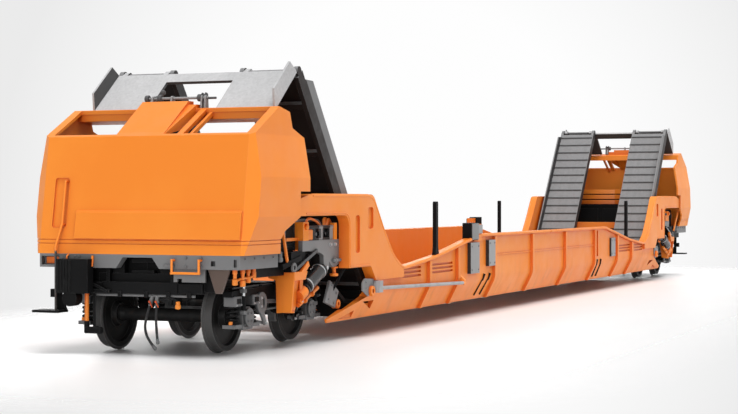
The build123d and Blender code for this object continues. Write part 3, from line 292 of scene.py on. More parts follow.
def body_paint(name, tint=None):
    c = settings().colours
    # The pale edge colour is partly wear and partly painted highlight; the deep colour is painted shade for
    # corners.
    edge_wear_and_highlight, deep = (1.0, 0.42, 0.12), (0.60, 0.075, 0.004)
    return painted(name, c.orange, c.orange_deep, edge_wear_and_highlight, deep, roughness=0.42, edge_gain=0.5, grime=0.22,
                   tint=tint, gloss=0.36)


def orange_paint():
    return body_paint("orange_paint")


def grey_coat(name, colour, tint=None):
    # A lighter copy for edges, partly wear and partly painted highlight, and a darker copy for painted shade
    # in corners.
    dull, edge_wear_and_highlight, deep = (scaled_colour(colour, amount) for amount in (0.86, 1.7, 0.4))
    return painted(name, colour, dull, edge_wear_and_highlight, deep, roughness=0.48, edge_gain=0.55, tint=tint)


def grey_paint():
    return grey_coat("grey_paint", settings().colours.grey)


def pale_paint():
    return grey_coat("pale_paint", settings().colours.pale)


def dark_paint():
    dark = settings().colours.dark
    # Grey edges are partly wear and partly painted highlight; the darkest colour is painted shade for
    # corners.
    return painted("dark_paint", dark, scaled_colour(dark, 0.6), (0.11, 0.11, 0.11), scaled_colour(dark, 0.3),
                   roughness=0.52, edge_gain=0.55, grime=0.3, gloss=0.06)


def gloss_black():
    """Jack cylinders and valves: black enamel, smooth, with dust in faint clouds."""
    r = Recipe("gloss_black")
    if not r.fresh:
        return r.mat
    dust = r.math("MULTIPLY", r.span(r.noise(9.0, 5.0), 0.5, 0.75), 0.25)
    colour = r.mix(dust, (0.010, 0.010, 0.011), (0.07, 0.065, 0.06))
    soft, worn = r.edge(0.005)
    colour = r.mix(r.math("MULTIPLY", worn, 0.4), colour, (0.12, 0.12, 0.12))
    rough = r.span(dust, 0.0, 0.25, 0.22, 0.45)
    return r.finish(colour, rough, r.bump(r.noise(300.0, 2.0), 0.05, 0.0005, soft))


def between(r, value, low, high, soft=0.004):
    """1 where a value lies between two others, 0 outside."""
    return r.math("MULTIPLY", r.span(value, low - soft, low), r.span(value, high + soft, high))


def headstock_paint():
    """Headstocks: grey beam, and brown primer on the gusset that hangs below it."""
    def tint(r, colour):
        across = r.math("ABSOLUTE", r.axis("Y"))
        hung = r.math("MULTIPLY", r.span(r.axis("Z"), 1.044, 1.040), r.span(across, 0.893, 0.897))
        return r.mix(hung, colour, settings().colours.brown)
    return grey_coat("headstock_paint", scaled_colour(settings().colours.grey, 1.15), tint)


def lock_paint():
    """Lock plates: pale faces, with painted shade on the ends that face along the car."""
    def tint(r, colour):
        # Painted shade: faces that point along the car turn nearly black.
        return r.mix(r.span(r.math("ABSOLUTE", r.way("X")), 0.6, 0.8), colour, (0.022, 0.02, 0.019))
    return grey_coat("lock_paint", settings().colours.pale, tint)


def bracket_paint():
    return grey_coat("bracket_paint", scaled_colour(settings().colours.pale, 0.72))


def valve_paint():
    """Valve gear: black frame with pale posts between orange end blocks."""
    def tint(r, colour):
        x = r.math("ABSOLUTE", r.axis("X"))
        posts = r.math("MAXIMUM", between(r, x, 9.76, 9.87), between(r, x, 9.43, 9.53))
        colour = r.mix(posts, settings().colours.dark, colour)
        ends = r.math("MAXIMUM", r.span(x, 10.205, 10.21), r.span(x, 9.426, 9.422))
        return r.mix(ends, colour, settings().colours.orange)
    return grey_coat("valve_paint", settings().colours.pale, tint)


def rail_paint():
    """Handrails: orange beside the hood, dark below it."""
    def tint(r, colour):
        low = r.span(r.axis("Z"), 1.255, 1.235)
        aside = r.math("MULTIPLY", r.axis("Y"), r.math("SIGN", r.axis("X")))
        return r.mix(r.math("MULTIPLY", low, r.span(aside, -0.90, -0.95)), colour, (0.03, 0.03, 0.031))
    return body_paint("rail_paint", tint)


def ramp_steel():
    """Ramp leaves: grey treads with cleats darkened by their height over the tread as painted shade, painted
    shade on the inner sides of the curbs, outer sides grey above and dark brown of painted shade below, and a
    nearly black underside of painted shade."""
    r = Recipe("ramp_steel")
    if not r.fresh:
        return r.mat
    c = settings().colours
    grain = r.span(r.noise(1.0, 4.0, r.scaled((1.2, 9.0, 1.2))), 0.35, 0.65, 0.96, 1.04)
    spangle = r.span(r.axis("X", r.cells(28.0)), 0.0, 1.0, 0.94, 1.05)
    face = r.mix(1.0, c.ramp, r.math("MULTIPLY", grain, spangle), "MULTIPLY")
    run = r.math("SUBTRACT", r.math("ABSOLUTE", r.axis("X")), LEAF_FOOT[0])
    rise = r.math("SUBTRACT", r.axis("Z"), LEAF_FOOT[1])
    over = r.math("SUBTRACT", r.math("MULTIPLY", rise, math.cos(RAMP_SLOPE)),
                  r.math("MULTIPLY", run, math.sin(RAMP_SLOPE)))
    # Painted shade: the cleats, told by their height over the tread, are darkened.
    colour = r.mix(between(r, over, 0.003, 0.019, 0.002), face, scaled_colour(c.ramp, 0.28))
    outward = r.math("MULTIPLY", r.way("Y"), r.math("SIGN", r.axis("Y")))
    # Painted shade: the curbs' inner sides turn nearly black.
    colour = r.mix(r.span(outward, -0.6, -0.9), colour, (0.03, 0.03, 0.031))
    # Painted shade: the outer sides are dark brown up to just above the tread and grey higher up.
    side = r.mix(r.span(over, 0.015, 0.030), c.rust, scaled_colour(c.ramp, 0.8))
    colour = r.mix(r.span(outward, 0.6, 0.9), colour, side)
    # Painted shade: the underside turns dark brown.
    colour = r.mix(r.span(r.way("Z"), -0.05, -0.3), colour, c.rust)
    soft, worn = r.edge(0.006)
    patches = r.span(r.noise(6.0, 5.0), 0.4, 0.65, 0.1, 0.5)
    colour = r.mix(r.math("MULTIPLY", worn, patches), colour, (0.40, 0.40, 0.40))
    rough = r.span(r.noise(9.0, 4.0), 0.3, 0.7, 0.46, 0.62)
    peel = r.bump(r.noise(160.0, 3.0), 0.12, 0.0012, soft)
    return r.finish(colour, rough, peel, specular=0.3)


def flap_steel():
    """Flaps: pale galvanised plate, with painted shade on the inner sides of the curbs and on the underside.
    """
    r = Recipe("flap_steel")
    if not r.fresh:
        return r.mat
    c = settings().colours
    spangle = r.span(r.axis("X", r.cells(34.0)), 0.0, 1.0, 0.93, 1.05)
    cloud = r.span(r.noise(1.6, 4.0), 0.35, 0.65, 0.92, 1.05)
    face = r.mix(1.0, c.flap, r.math("MULTIPLY", spangle, cloud), "MULTIPLY")
    outward = r.math("MULTIPLY", r.way("Y"), r.math("SIGN", r.axis("Y")))
    # Painted shade: the curbs' inner sides turn nearly black.
    colour = r.mix(r.span(outward, -0.6, -0.9), face, (0.055, 0.055, 0.056))
    # Painted shade: the underside turns dark.
    colour = r.mix(r.span(r.way("Z"), -0.05, -0.3), colour, (0.05, 0.045, 0.042))
    soft, worn = r.edge(0.006)
    colour = r.mix(r.math("MULTIPLY", worn, 0.35), colour, (0.70, 0.70, 0.70))
    rough = r.span(r.noise(8.0, 4.0), 0.3, 0.7, 0.42, 0.56)
    return r.finish(colour, rough, r.bump(r.noise(150.0, 3.0), 0.08, 0.001, soft), specular=0.3)


def wheel_steel(x):
    """Wheels: dark web, brighter worn tread and flange, by the distance from the axle's middle."""
    r = Recipe(f"wheel_steel_{round(abs(x) * 100)}_{'far' if x > 0 else 'near'}")
    if not r.fresh:
        return r.mat
    c = settings().colours
    centred = r.scaled((1, 0, 1), (-x, 0, -AXLE_Z))
    length = r.add("ShaderNodeVectorMath", operation="LENGTH")
    r.link(centred, length.inputs[0])
    radius = length.outputs["Value"]
    tread = r.span(radius, 0.405, 0.416)
    ring = r.math("SINE", r.math("MULTIPLY", radius, 900.0))
    cloud = r.span(r.noise(6.0, 5.0), 0.35, 0.65, 0.75, 1.25)
    web = r.mix(1.0, c.wheel, cloud, "MULTIPLY")
    colour = r.mix(r.math("MULTIPLY", tread, 0.8), web, (0.085, 0.083, 0.082))
    rust = r.math("MULTIPLY", r.span(r.noise(14.0, 6.0), 0.55, 0.7), 0.25)
    colour = r.mix(rust, colour, (0.05, 0.03, 0.02))
    soft, worn = r.edge(0.007)
    colour = r.mix(r.math("MULTIPLY", worn, 0.6), colour, (0.20, 0.197, 0.195))
    rough = r.mix(tread, (0.5, 0.5, 0.5), (0.34, 0.34, 0.34))
    grooves = r.bump(ring, 0.05, 0.0006, soft)
    return r.finish(colour, r.axis("X", rough), grooves, metallic=0.05, specular=0.12)


def bright_steel():
    """Bright steel: fine lines across the car, faint stains."""
    r = Recipe("bright_steel")
    if not r.fresh:
        return r.mat
    c = settings().colours
    lines = r.noise(1.0, 3.0, r.scaled((60.0, 8.0, 60.0)))
    stain = r.span(r.noise(5.0, 5.0), 0.45, 0.7, 1.0, 0.72)
    colour = r.mix(1.0, c.bright, stain, "MULTIPLY")
    soft, worn = r.edge(0.005)
    colour = r.mix(r.math("MULTIPLY", worn, 0.4), colour, (0.75, 0.75, 0.75))
    rough = r.span(lines, 0.3, 0.7, 0.24, 0.40)
    return r.finish(colour, rough, r.bump(lines, 0.06, 0.0008, soft), metallic=0.75)


def hose_rubber():
    """Hose rubber: matt, with a fine wrapped-cloth grain and dust."""
    r = Recipe("hose_rubber")
    if not r.fresh:
        return r.mat
    c = settings().colours
    dust = r.math("MULTIPLY", r.span(r.noise(22.0, 5.0), 0.5, 0.75), 0.35)
    colour = r.mix(dust, c.rubber, (0.12, 0.11, 0.10))
    wrap = r.noise(1.0, 2.0, r.scaled((300.0, 300.0, 900.0)))
    rough = r.span(dust, 0.0, 0.35, 0.62, 0.8)
    return r.finish(colour, rough, r.bump(wrap, 0.25, 0.0007), specular=0.25)


def tread_plate():
    """Floor plate: two shades in clouds, with raised studs in a diamond pattern that are scuffed on top."""
    r = Recipe("tread_plate")
    if not r.fresh:
        return r.mat
    c = settings().colours
    turned = r.add("ShaderNodeMapping")
    turned.inputs["Scale"].default_value = (22.0, 22.0, 22.0)
    turned.inputs["Rotation"].default_value = (0.0, 0.0, math.radians(45))
    r.link(r.where, turned.inputs["Vector"])
    u = r.math("SINE", r.math("MULTIPLY", r.axis("X", turned.outputs["Vector"]), math.pi))
    v = r.math("SINE", r.math("MULTIPLY", r.axis("Y", turned.outputs["Vector"]), math.pi))
    stud = r.span(r.math("ABSOLUTE", r.math("MULTIPLY", u, v)), 0.55, 0.8)
    clouds = r.span(r.noise(0.7, 5.0), 0.35, 0.65)
    colour = r.mix(clouds, c.orange_deep, scaled_colour(c.orange_deep, 0.72))
    scuff = r.math("MULTIPLY", stud, r.span(r.noise(2.5, 5.0), 0.4, 0.65, 0.1, 0.5))
    colour = r.mix(scuff, colour, (0.42, 0.30, 0.22))
    soft, worn = r.edge(0.008)
    colour = r.mix(r.math("MULTIPLY", worn, 0.4), colour, (0.9, 0.42, 0.15))
    rough = r.span(r.noise(4.0, 4.0), 0.3, 0.7, 0.45, 0.62)
    return r.finish(colour, rough, r.bump(stud, 0.35, 0.004, soft), specular=0.25)


def rod_steel():
    """Pull rods: bright bar and bracket, with an orange boss at the inner end."""
    r = Recipe("rod_steel")
    if not r.fresh:
        return r.mat
    c = settings().colours
    lines = r.noise(1.0, 3.0, r.scaled((8.0, 90.0, 90.0)))
    stain = r.span(r.noise(5.0, 5.0), 0.45, 0.7, 1.0, 0.75)
    colour = r.mix(1.0, (0.36, 0.365, 0.37), stain, "MULTIPLY")
    inner_end = between(r, r.math("ABSOLUTE", r.axis("X")), 4.80, 4.90)
    colour = r.mix(inner_end, colour, c.orange)
    soft, worn = r.edge(0.005)
    colour = r.mix(r.math("MULTIPLY", worn, 0.35), colour, (0.6, 0.55, 0.5))
    rough = r.span(lines, 0.3, 0.7, 0.34, 0.48)
    return r.finish(colour, rough, r.bump(lines, 0.06, 0.0008, soft), specular=0.45)


def red_handle():
    # Pale red edges are partly wear and partly painted highlight; the deep red is painted shade for corners.
    return painted("handle_paint", (0.52, 0.06, 0.015), (0.42, 0.05, 0.01), (0.9, 0.3, 0.15),
                   (0.3, 0.03, 0.004), roughness=0.4, edge_gain=0.5, grime=0.2)


# Surfaces on grids

def grid_faces(rows, columns, wrap):
    """Quads of a grid of rows by columns, row after row; wrap joins the last column to the first."""
    count = columns if wrap else columns - 1
    i, j = np.meshgrid(np.arange(rows - 1), np.arange(count), indexing="ij")
    k = (j + 1) % columns
    corners = (i * columns + j, i * columns + k, (i + 1) * columns + k, (i + 1) * columns + j)
    return np.stack(corners, -1).reshape(-1, 4)


def rings(points):
    """A shell through rings of points (rows, columns, 3), its first and last ring closed by a face."""
    rows, columns = points.shape[:2]
    faces = [tuple(q) for q in grid_faces(rows, columns, True)]
    faces.append(tuple(range(columns - 1, -1, -1)))
    faces.append(tuple(range((rows - 1) * columns, rows * columns)))
    return points.reshape(-1, 3), faces


def frame_of(way):
    """Two unit vectors square to a direction and to each other, and the direction's own."""
    way = np.asarray(way, float)
    way = way / np.linalg.norm(way)
    guide = np.array((0.0, 0.0, 1.0)) if abs(way[2]) < 0.9 else np.array((1.0, 0.0, 0.0))
    u = np.cross(guide, way)
    u = u / np.linalg.norm(u)
    return u, np.cross(way, u), way


def swept(profile, start, way, sides):
    """Rings of points: radius r at height h along a direction, swept round by angle."""
    profile = np.asarray(profile, float)
    u, v, w = frame_of(way)
    angle = np.linspace(0, 2 * np.pi, sides, endpoint=False)
    ring = np.cos(angle)[:, None] * u + np.sin(angle)[:, None] * v
    return np.asarray(start) + profile[:, None, 1:2] * w + profile[:, None, 0:1] * ring[None]


def lathe(profile, start, way, sides=20):
    """A turned shape: a profile of radius and height, swept round and closed at both ends."""
    return rings(swept(profile, start, way, sides))


def boss(neck, radius, chamfer, length):
    """The profile of a turned boss: a drum of that radius and length, its rims chamfered down to the neck."""
    return (neck, 0), (radius, chamfer), (radius, length - chamfer), (neck, length)


def rod(start, stop, radius):
    """A rod with chamfered ends."""
    start, stop = np.asarray(start, float), np.asarray(stop, float)
    length = np.linalg.norm(stop - start)
    c = min(radius * 0.15, length * 0.2)
    return lathe(boss(radius - c, radius, c, length), start, stop - start, 14)


def spline(points, count):
    """Points on a smooth route: between the middles of two runs it is the parabola that the corner pulls."""
    points = np.asarray(points, float)
    middles = (points[1:] + points[:-1]) / 2
    starts = np.vstack([points[:1], middles[1:-1]]) if len(points) > 3 else points[:1]
    stops = np.vstack([middles[1:-1], points[-1:]]) if len(points) > 3 else points[-1:]
    corners = points[1:-1]
    t = np.linspace(0, 1, count, endpoint=False)[None, :, None]
    bends = (1 - t) ** 2 * starts[:, None] + 2 * t * (1 - t) * corners[:, None] + t ** 2 * stops[:, None]
    return np.vstack([bends.reshape(-1, 3), points[-1:]])


def tube(path, radius, sides=10, guide=None):
    """A round section carried along a path: at each point a circle square to the path."""
    path = np.asarray(path, float)
    way = np.gradient(path, axis=0)
    way /= np.linalg.norm(way, axis=1)[:, None]
    if guide is None:
        guide = np.eye(3)[int(np.argmin(np.ptp(path, axis=0)))]
    u = np.cross(guide, way)
    u /= np.linalg.norm(u, axis=1)[:, None]
    v = np.cross(way, u)
    angle = np.linspace(0, 2 * np.pi, sides, endpoint=False)
    ring = np.cos(angle)[None, :, None] * u[:, None] + np.sin(angle)[None, :, None] * v[:, None]
    return rings(path[:, None] + radius * ring)


def pipe(points, radius):
    """A bent pipe along the smooth route of its points."""
    return tube(spline(points, 8), radius)


def inset(outline, amount):
    """A closed outline moved inwards: each corner slides along the mean of its two edges' normals."""
    outline = np.asarray(outline, float)
    ahead = np.roll(outline, -1, 0) - outline
    ahead /= np.linalg.norm(ahead, axis=1)[:, None]
    behind = np.roll(ahead, 1, 0)
    normal = np.stack([-ahead[:, 1] - behind[:, 1], ahead[:, 0] + behind[:, 0]], 1)
    return outline + amount * normal / np.maximum(1 + (ahead * behind).sum(1), 0.35)[:, None]


PLANES = {"side": (0, 2, 1), "cross": (1, 2, 0), "plan": (0, 1, 2)}


def plate(outline, low, high, plane="side", chamfer=0.004):
    """A plate: an outline in a plane, pushed from low to high, with all edges chamfered."""
    outline = np.asarray(outline, float)
    area = np.sum(outline[:, 0] * np.roll(outline[:, 1], -1) - np.roll(outline[:, 0], -1) * outline[:, 1])
    if area < 0:
        outline = outline[::-1]
    c = min(chamfer, (high - low) * 0.3)
    small = inset(outline, c)
    a, b, n = PLANES[plane]
    points = np.zeros((4, len(outline), 3))
    levels = ((small, low), (outline, low + c), (outline, high - c), (small, high))
    for row, (shape, level) in enumerate(levels):
        points[row, :, a] = shape[:, 0]
        points[row, :, b] = shape[:, 1]
        points[row, :, n] = level
    vertices, faces = rings(points)
    if plane == "side":
        faces = [f[::-1] for f in faces]
    return vertices, faces


def slab(x0, x1, y0, y1, z0, z1, chamfer=0.005):
    """A block with every edge chamfered: an eight-sided plan, pushed up."""
    c = min(chamfer, (x1 - x0) * 0.3, (y1 - y0) * 0.3)
    plan = ((x0 + c, y0), (x1 - c, y0), (x1, y0 + c), (x1, y1 - c),
            (x1 - c, y1), (x0 + c, y1), (x0, y1 - c), (x0, y0 + c))
    return plate(plan, z0, z1, "plan", chamfer)


def beam(start, stop, width, depth, chamfer=0.003):
    """A straight bar: an eight-sided chamfered section, width across the car's level and depth square to it,
    carried from start to stop."""
    start, stop = np.asarray(start, float), np.asarray(stop, float)
    u, v, w = frame_of(stop - start)
    a, b = width / 2, depth / 2
    c = min(chamfer, a * 0.4, b * 0.4)
    corners = np.array([(a - c, -b), (a, c - b), (a, b - c), (a - c, b),
                        (c - a, b), (-a, b - c), (-a, c - b), (c - a, -b)])
    section = corners[:, :1] * u + corners[:, 1:] * v
    small = section * (1 - c / max(a, b))
    return rings(np.stack([start + small, start + c * w + section, stop - c * w + section, stop + small]))


def hoop(section, start, way, sides=28):
    """A ring: a closed section of radius and height along a direction, swept round by angle."""
    points = swept(section, start, way, sides)
    faces = grid_faces(len(section) + 1, sides, True) % (len(section) * sides)
    return points.reshape(-1, 3), [tuple(q) for q in faces]


def eye(start, way, outer, inner, thick):
    """A flat ring with chamfered rims."""
    c = min(thick, outer - inner) * 0.15
    section = ((inner, c), (inner + c, 0), (outer - c, 0), (outer, c),
               (outer, thick - c), (outer - c, thick), (inner + c, thick), (inner, thick - c))
    return hoop(section, start, way)


def bolt(place, way, width):
    """A bolt: a washer, then a six-sided head with a chamfered top, all in parts of the head's radius."""
    profile = width / 2 * np.array(((1.35, -0.1), (1.35, 0.22), (1.0, 0.24), (1.0, 0.95), (0.82, 1.15)))
    return lathe(profile, place, way, 6)


def bolts(places, way, width):
    return [bolt(p, way, width) for p in places]


def along(start, stop, count):
    """Places evenly from start to stop."""
    return list(np.linspace(np.asarray(start, float), np.asarray(stop, float), count))


def mirrored(parts):
    """Parts and their twins on the other side of the car."""
    twins = [(v * (1, -1, 1), [f[::-1] for f in faces]) for v, faces in parts]
    return list(parts) + twins


def other_end(parts):
    """Parts turned half round, for the near end."""
    return [(v * (-1, -1, 1), faces) for v, faces in parts]


def make(name, parts, material, body):
    """One object from many parts, at the origin, smooth between its sharp edges, riding on a body."""
    vertices, faces, start = [], [], 0
    for v, f in parts:
        vertices.append(np.asarray(v, float))
        faces.extend(tuple(int(i) + start for i in face) for face in f)
        start += len(v)
    mesh = bpy.data.meshes.new(name)
    mesh.from_pydata(np.vstack(vertices).tolist(), [], faces)
    mesh.validate()
    mesh.update()
    mesh.polygons.foreach_set("use_smooth", np.ones(len(mesh.polygons), bool))
    mesh.set_sharp_from_angle(angle=SHARP_ANGLE)
    obj = bpy.data.objects.new(name, mesh)
    bpy.context.scene.collection.objects.link(obj)
    mesh.materials.append(material)
    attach(obj, body)
    return obj


def make_ends(name, parts, material, body):
    """The same parts at both ends; a body's name may hold the end's."""
    for end, sign in ENDS:
        turned = parts if sign > 0 else other_end(parts)
        make(f"{name}_{end}", turned, material, body.format(end=end))


# Operators

class RAILCAR_OT_stage(bpy.types.Operator):
    """Pale floor, soft studio light and the camera at the photo's angle"""
    bl_idname = "railcar.stage"
    bl_label = "Stage"

    world_strength = 0.14
    # Name, direction, strength and spread in degrees of each sun
    lamps = (
        ("key", (0.05, 0.20, -0.97), 3.05, 40),
        ("side", (0.15, 0.97, -0.05), 0.6, 30),
        ("front", (0.98, 0.15, -0.04), 1.62, 30),
        ("back", (-0.86, -0.50, -0.04), 0.9, 40),
    )
    ring_heading = math.radians(21.5)
    # Cosine of the angle from the heading, from and to, and the level of white, from and to
    ring_fades = ((0.972, 0.993, 0.83, 0.99), (0.90, 0.96, 0.99, 0.83))
    # Metres from and to, and number of lines
    floor_along, floor_across = (-90, 240, 34), (-130, 130, 28)
    # Half the car's length and width on the floor, and metres from there over which the floor fades
    car_half_length, car_half_width = 12.4, 1.5
    fade_start, fade_stop = 0.6, 5.0

    def execute(self, context):
        scene = context.scene
        scene.view_settings.view_transform = "Standard"
        self.light_world(scene)
        self.lay_floor(scene)
        self.hang_lamps(scene)
        self.place_camera(scene)
        return {"FINISHED"}

    def light_world(self, scene):
        """A weak white world, in whose place the camera, gloss and glass see the backdrop."""
        world = bpy.data.worlds.new("studio")
        world.use_nodes = True
        scene.world = world
        tree = world.node_tree
        join = tree.links.new
        light = tree.nodes["Background"]
        light.inputs["Color"].default_value = (1.0, 1.0, 1.0, 1.0)
        light.inputs["Strength"].default_value = self.world_strength
        seen = tree.nodes.new("ShaderNodeBackground")
        self.backdrop(tree, seen.inputs["Color"])
        rays = tree.nodes.new("ShaderNodeLightPath")
        looking = rays.outputs["Is Camera Ray"]
        for kind in ("Is Glossy Ray", "Is Transmission Ray"):
            either = tree.nodes.new("ShaderNodeMath")
            either.operation = "MAXIMUM"
            join(looking, either.inputs[0])
            join(rays.outputs[kind], either.inputs[1])
            looking = either.outputs[0]
        choose = tree.nodes.new("ShaderNodeMixShader")
        join(looking, choose.inputs[0])
        join(light.outputs[0], choose.inputs[1])
        join(seen.outputs[0], choose.inputs[2])
        join(choose.outputs[0], tree.nodes["World Output"].inputs["Surface"])

    def backdrop(self, tree, socket):
        """Paper white all round, with a pale grey ring at a set angle from one fixed heading."""
        where = tree.nodes.new("ShaderNodeTexCoord")
        toward = tree.nodes.new("ShaderNodeVectorMath")
        toward.operation = "DOT_PRODUCT"
        toward.inputs[1].default_value = (math.cos(self.ring_heading), math.sin(self.ring_heading), 0.0)
        tree.links.new(where.outputs["Generated"], toward.inputs[0])
        brighter = tree.nodes.new("ShaderNodeMath")
        brighter.operation = "MAXIMUM"
        for side, numbers in enumerate(self.ring_fades):
            level = tree.nodes.new("ShaderNodeMapRange")
            for key, number in zip(("From Min", "From Max", "To Min", "To Max"), numbers):
                level.inputs[key].default_value = number
            tree.links.new(toward.outputs["Value"], level.inputs["Value"])
            tree.links.new(level.outputs["Result"], brighter.inputs[side])
        tree.links.new(brighter.outputs[0], socket)

    def lay_floor(self, scene):
        """A level grid under the car."""
        u, v = np.meshgrid(np.linspace(*self.floor_along), np.linspace(*self.floor_across), indexing="ij")
        ground = np.stack([u, v, np.zeros_like(u)], -1).reshape(-1, 3)
        mesh = bpy.data.meshes.new("floor")
        mesh.from_pydata(ground.tolist(), [], grid_faces(*u.shape, False)[:, ::-1].tolist())
        floor = bpy.data.objects.new("floor", mesh)
        scene.collection.objects.link(floor)
        mesh.materials.append(self.floor_finish())

    def floor_finish(self):
        """Pale floor that fades into the backdrop some metres away from the car."""
        r = Recipe("studio_floor")
        if r.fresh:
            cloud = r.span(r.noise(0.4, 3.0), 0.3, 0.7, 0.83, 0.86)
            r.finish(r.mix(1.0, (1.0, 1.0, 1.0), cloud, "MULTIPLY"), 0.45, specular=0.2)
            squares = []
            for letter, half in (("X", self.car_half_length), ("Y", self.car_half_width)):
                past = r.math("MAXIMUM", r.math("SUBTRACT", r.math("ABSOLUTE", r.axis(letter)), half), 0.0)
                squares.append(r.math("MULTIPLY", past, past))
            fade = r.span(r.math("SQRT", r.math("ADD", *squares)), self.fade_start, self.fade_stop)
            seen = r.math("MULTIPLY", fade, r.add("ShaderNodeLightPath").outputs["Is Camera Ray"])
            open_floor = r.add("ShaderNodeBsdfTransparent")
            both = r.add("ShaderNodeMixShader")
            r.link(seen, both.inputs[0])
            r.link(r.shader.outputs[0], both.inputs[1])
            r.link(open_floor.outputs[0], both.inputs[2])
            r.link(both.outputs[0], r.tree.nodes["Material Output"].inputs["Surface"])
        return r.mat

    def hang_lamps(self, scene):
        for name, way, power, spread in self.lamps:
            lamp = bpy.data.lights.new(name, "SUN")
            lamp.energy = power
            lamp.angle = math.radians(spread)
            holder = bpy.data.objects.new(name, lamp)
            holder.rotation_euler = Vector(way).to_track_quat("-Z", "Y").to_euler()
            scene.collection.objects.link(holder)

    def place_camera(self, scene):
        lens = bpy.data.cameras.new("photo")
        lens.sensor_width = SENSOR_WIDTH
        lens.lens = PHOTO_FOCAL * SENSOR_WIDTH / PHOTO_WIDTH
        lens.clip_end = 600.0
        camera = bpy.data.objects.new("photo", lens)
        yaw, pitch = CAMERA_YAW, CAMERA_PITCH
        ahead = Vector((math.cos(pitch) * math.cos(yaw), math.cos(pitch) * math.sin(yaw), math.sin(pitch)))
        camera.location = CAMERA_PLACE
        camera.rotation_euler = ahead.to_track_quat("-Z", "Y").to_euler()
        scene.collection.objects.link(camera)
        scene.camera = camera


class RAILCAR_OT_brake_hoses(bpy.types.Operator):
    """Two brake hoses at each end, each a smooth rubber hose with a coupling head"""
    bl_idname = "railcar.brake_hoses"
    bl_label = "Brake hoses"

    # Distance across the car and height of each point, from the cock down
    routes = (
        ("bowed", ((0.130, 0.632), (0.082, 0.492), (0.045, 0.345), (0.085, 0.205), (0.165, 0.120)), 0.548),
        ("straight", ((0.215, 0.632), (0.203, 0.490), (0.206, 0.340), (0.222, 0.200)), 0.433),
    )
    hose_radius = 0.016

    def execute(self, context):
        for end, sign in ENDS:
            for name, route, length in self.routes:
                points = [(sign * HOSE_X, sign * y, z) for y, z in route]
                head = self.head(f"coupling_{name}_{end}", points, f"hose_head_{name}_{end}")
                self.hose(f"hose_{name}_{end}", points, length, f"brake_hose_{name}_{end}", head)
        return {"FINISHED"}

    def hose(self, name, points, length, node, head):
        curve = bpy.data.curves.new(name, "CURVE")
        curve.dimensions = "3D"
        curve.bevel_depth = self.hose_radius
        curve.bevel_resolution = 4
        curve.resolution_u = 10
        curve.use_fill_caps = True
        line = curve.splines.new("NURBS")
        line.points.add(len(points) - 1)
        for place, point in zip(line.points, points):
            place.co = (*point, 1.0)
        line.order_u = 3
        line.use_endpoint_u = True
        obj = bpy.data.objects.new(name, curve)
        bpy.context.scene.collection.objects.link(obj)
        curve.materials.append(hose_rubber())
        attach(obj, "car")
        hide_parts(node)

    def head(self, name, points, node):
        """A coupling head: a clamped sleeve, a swollen body and a flat lip."""
        tail, before = np.asarray(points[-1]), np.asarray(points[-2])
        way = (tail - before) / np.linalg.norm(tail - before)
        r = self.hose_radius
        profile = ((r * 0.9, -0.006), (r + 0.004, -0.004), (r + 0.004, 0.010), (r + 0.0015, 0.012),
                   (r + 0.0015, 0.018), (r + 0.007, 0.022), (r + 0.007, 0.046), (r + 0.003, 0.050),
                   (r + 0.003, 0.054), (r - 0.004, 0.058))
        obj = make(name, [lathe(profile, tail, way, 18)], grey_paint(), "car")
        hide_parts(node)
        return obj


class RAILCAR_OT_finishes(bpy.types.Operator):
    """Finishes of the car's own parts"""
    bl_idname = "railcar.finishes"
    bl_label = "Finishes"

    def execute(self, context):
        by_name = (
            ("axle_boxes", grey_paint), ("springs", dark_paint), ("bogie_frame", dark_paint),
            ("brake_boxes", dark_paint), ("brake_", grey_paint), ("hose_", grey_paint),
            ("footsteps", dark_paint),
            ("flap_shafts", pale_paint), ("headstock", headstock_paint), ("lock_plates", lock_paint),
            ("lock_", bracket_paint), ("valve", valve_paint), ("handrails", rail_paint),
            ("equipment", dark_paint), ("end_bulkheads", dark_paint), ("draw_gear", dark_paint),
            ("ramp_leaves", ramp_steel), ("ramp_flap", flap_steel), ("stakes", dark_paint),
            ("jack_cylinders", gloss_black), ("pull_rods", rod_steel), ("platform_floor", tread_plate),
            ("end_frame", dark_paint), ("", orange_paint),
        )
        axles = [middle + offset for middle in (-BOGIE_X, BOGIE_X) for offset in AXLE_OFFSETS]
        for name, obj in NODES.items():
            if name[:-2] in ("wheels", "axle"):
                finish = wheel_steel(axles[int(name[-1]) - 1])
            else:
                finish = next(make_finish for key, make_finish in by_name if name.startswith(key))()
            obj.data.materials.clear()
            obj.data.materials.append(finish)
        return {"FINISHED"}


class RAILCAR_OT_springs(bpy.types.Operator):
    """Bogie springs: wound wire between a dished seat and a cap"""
    bl_idname = "railcar.springs"
    bl_label = "Bogie springs"

    low, high, radius = 0.368, 0.700, 0.0645

    def spring(self, x, y):
        """The wire's middle goes round at a fixed radius and rises evenly, flat at both ends."""
        sizes = settings().sizes
        wire = sizes.coil_wire
        t = np.linspace(0, 1, 170)
        angle = 2 * np.pi * sizes.coil_turns * t
        rise = np.clip((t - 0.09) / 0.82, 0, 1)
        z = self.low + 0.012 + wire + (self.high - self.low - 0.024 - 2 * wire) * rise
        path = np.stack([x + self.radius * np.cos(angle), y + self.radius * np.sin(angle), z], 1)
        seat = ((0.080, 0.0), (0.082, 0.003), (0.082, 0.009), (0.078, 0.012), (0.040, 0.012))
        return [tube(path, wire, 8, (0.0, 0.0, 1.0)), lathe(seat, (x, y, self.low), (0, 0, 1), 24),
                lathe(seat, (x, y, self.high), (0, 0, -1), 24)]

    def execute(self, context):
        for end, sign in ENDS:
            parts = []
            for axle in AXLE_OFFSETS:
                for shift in SPRING_SHIFTS:
                    parts += self.spring(BOGIE_X + axle + shift, JOURNAL_Y)
            parts = mirrored(parts)
            if sign < 0:
                parts = other_end(parts)
            obj = make(f"coil_springs_{end}", parts, dark_paint(), f"bogie_{end}")
            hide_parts(f"springs_{end}")
        return {"FINISHED"}


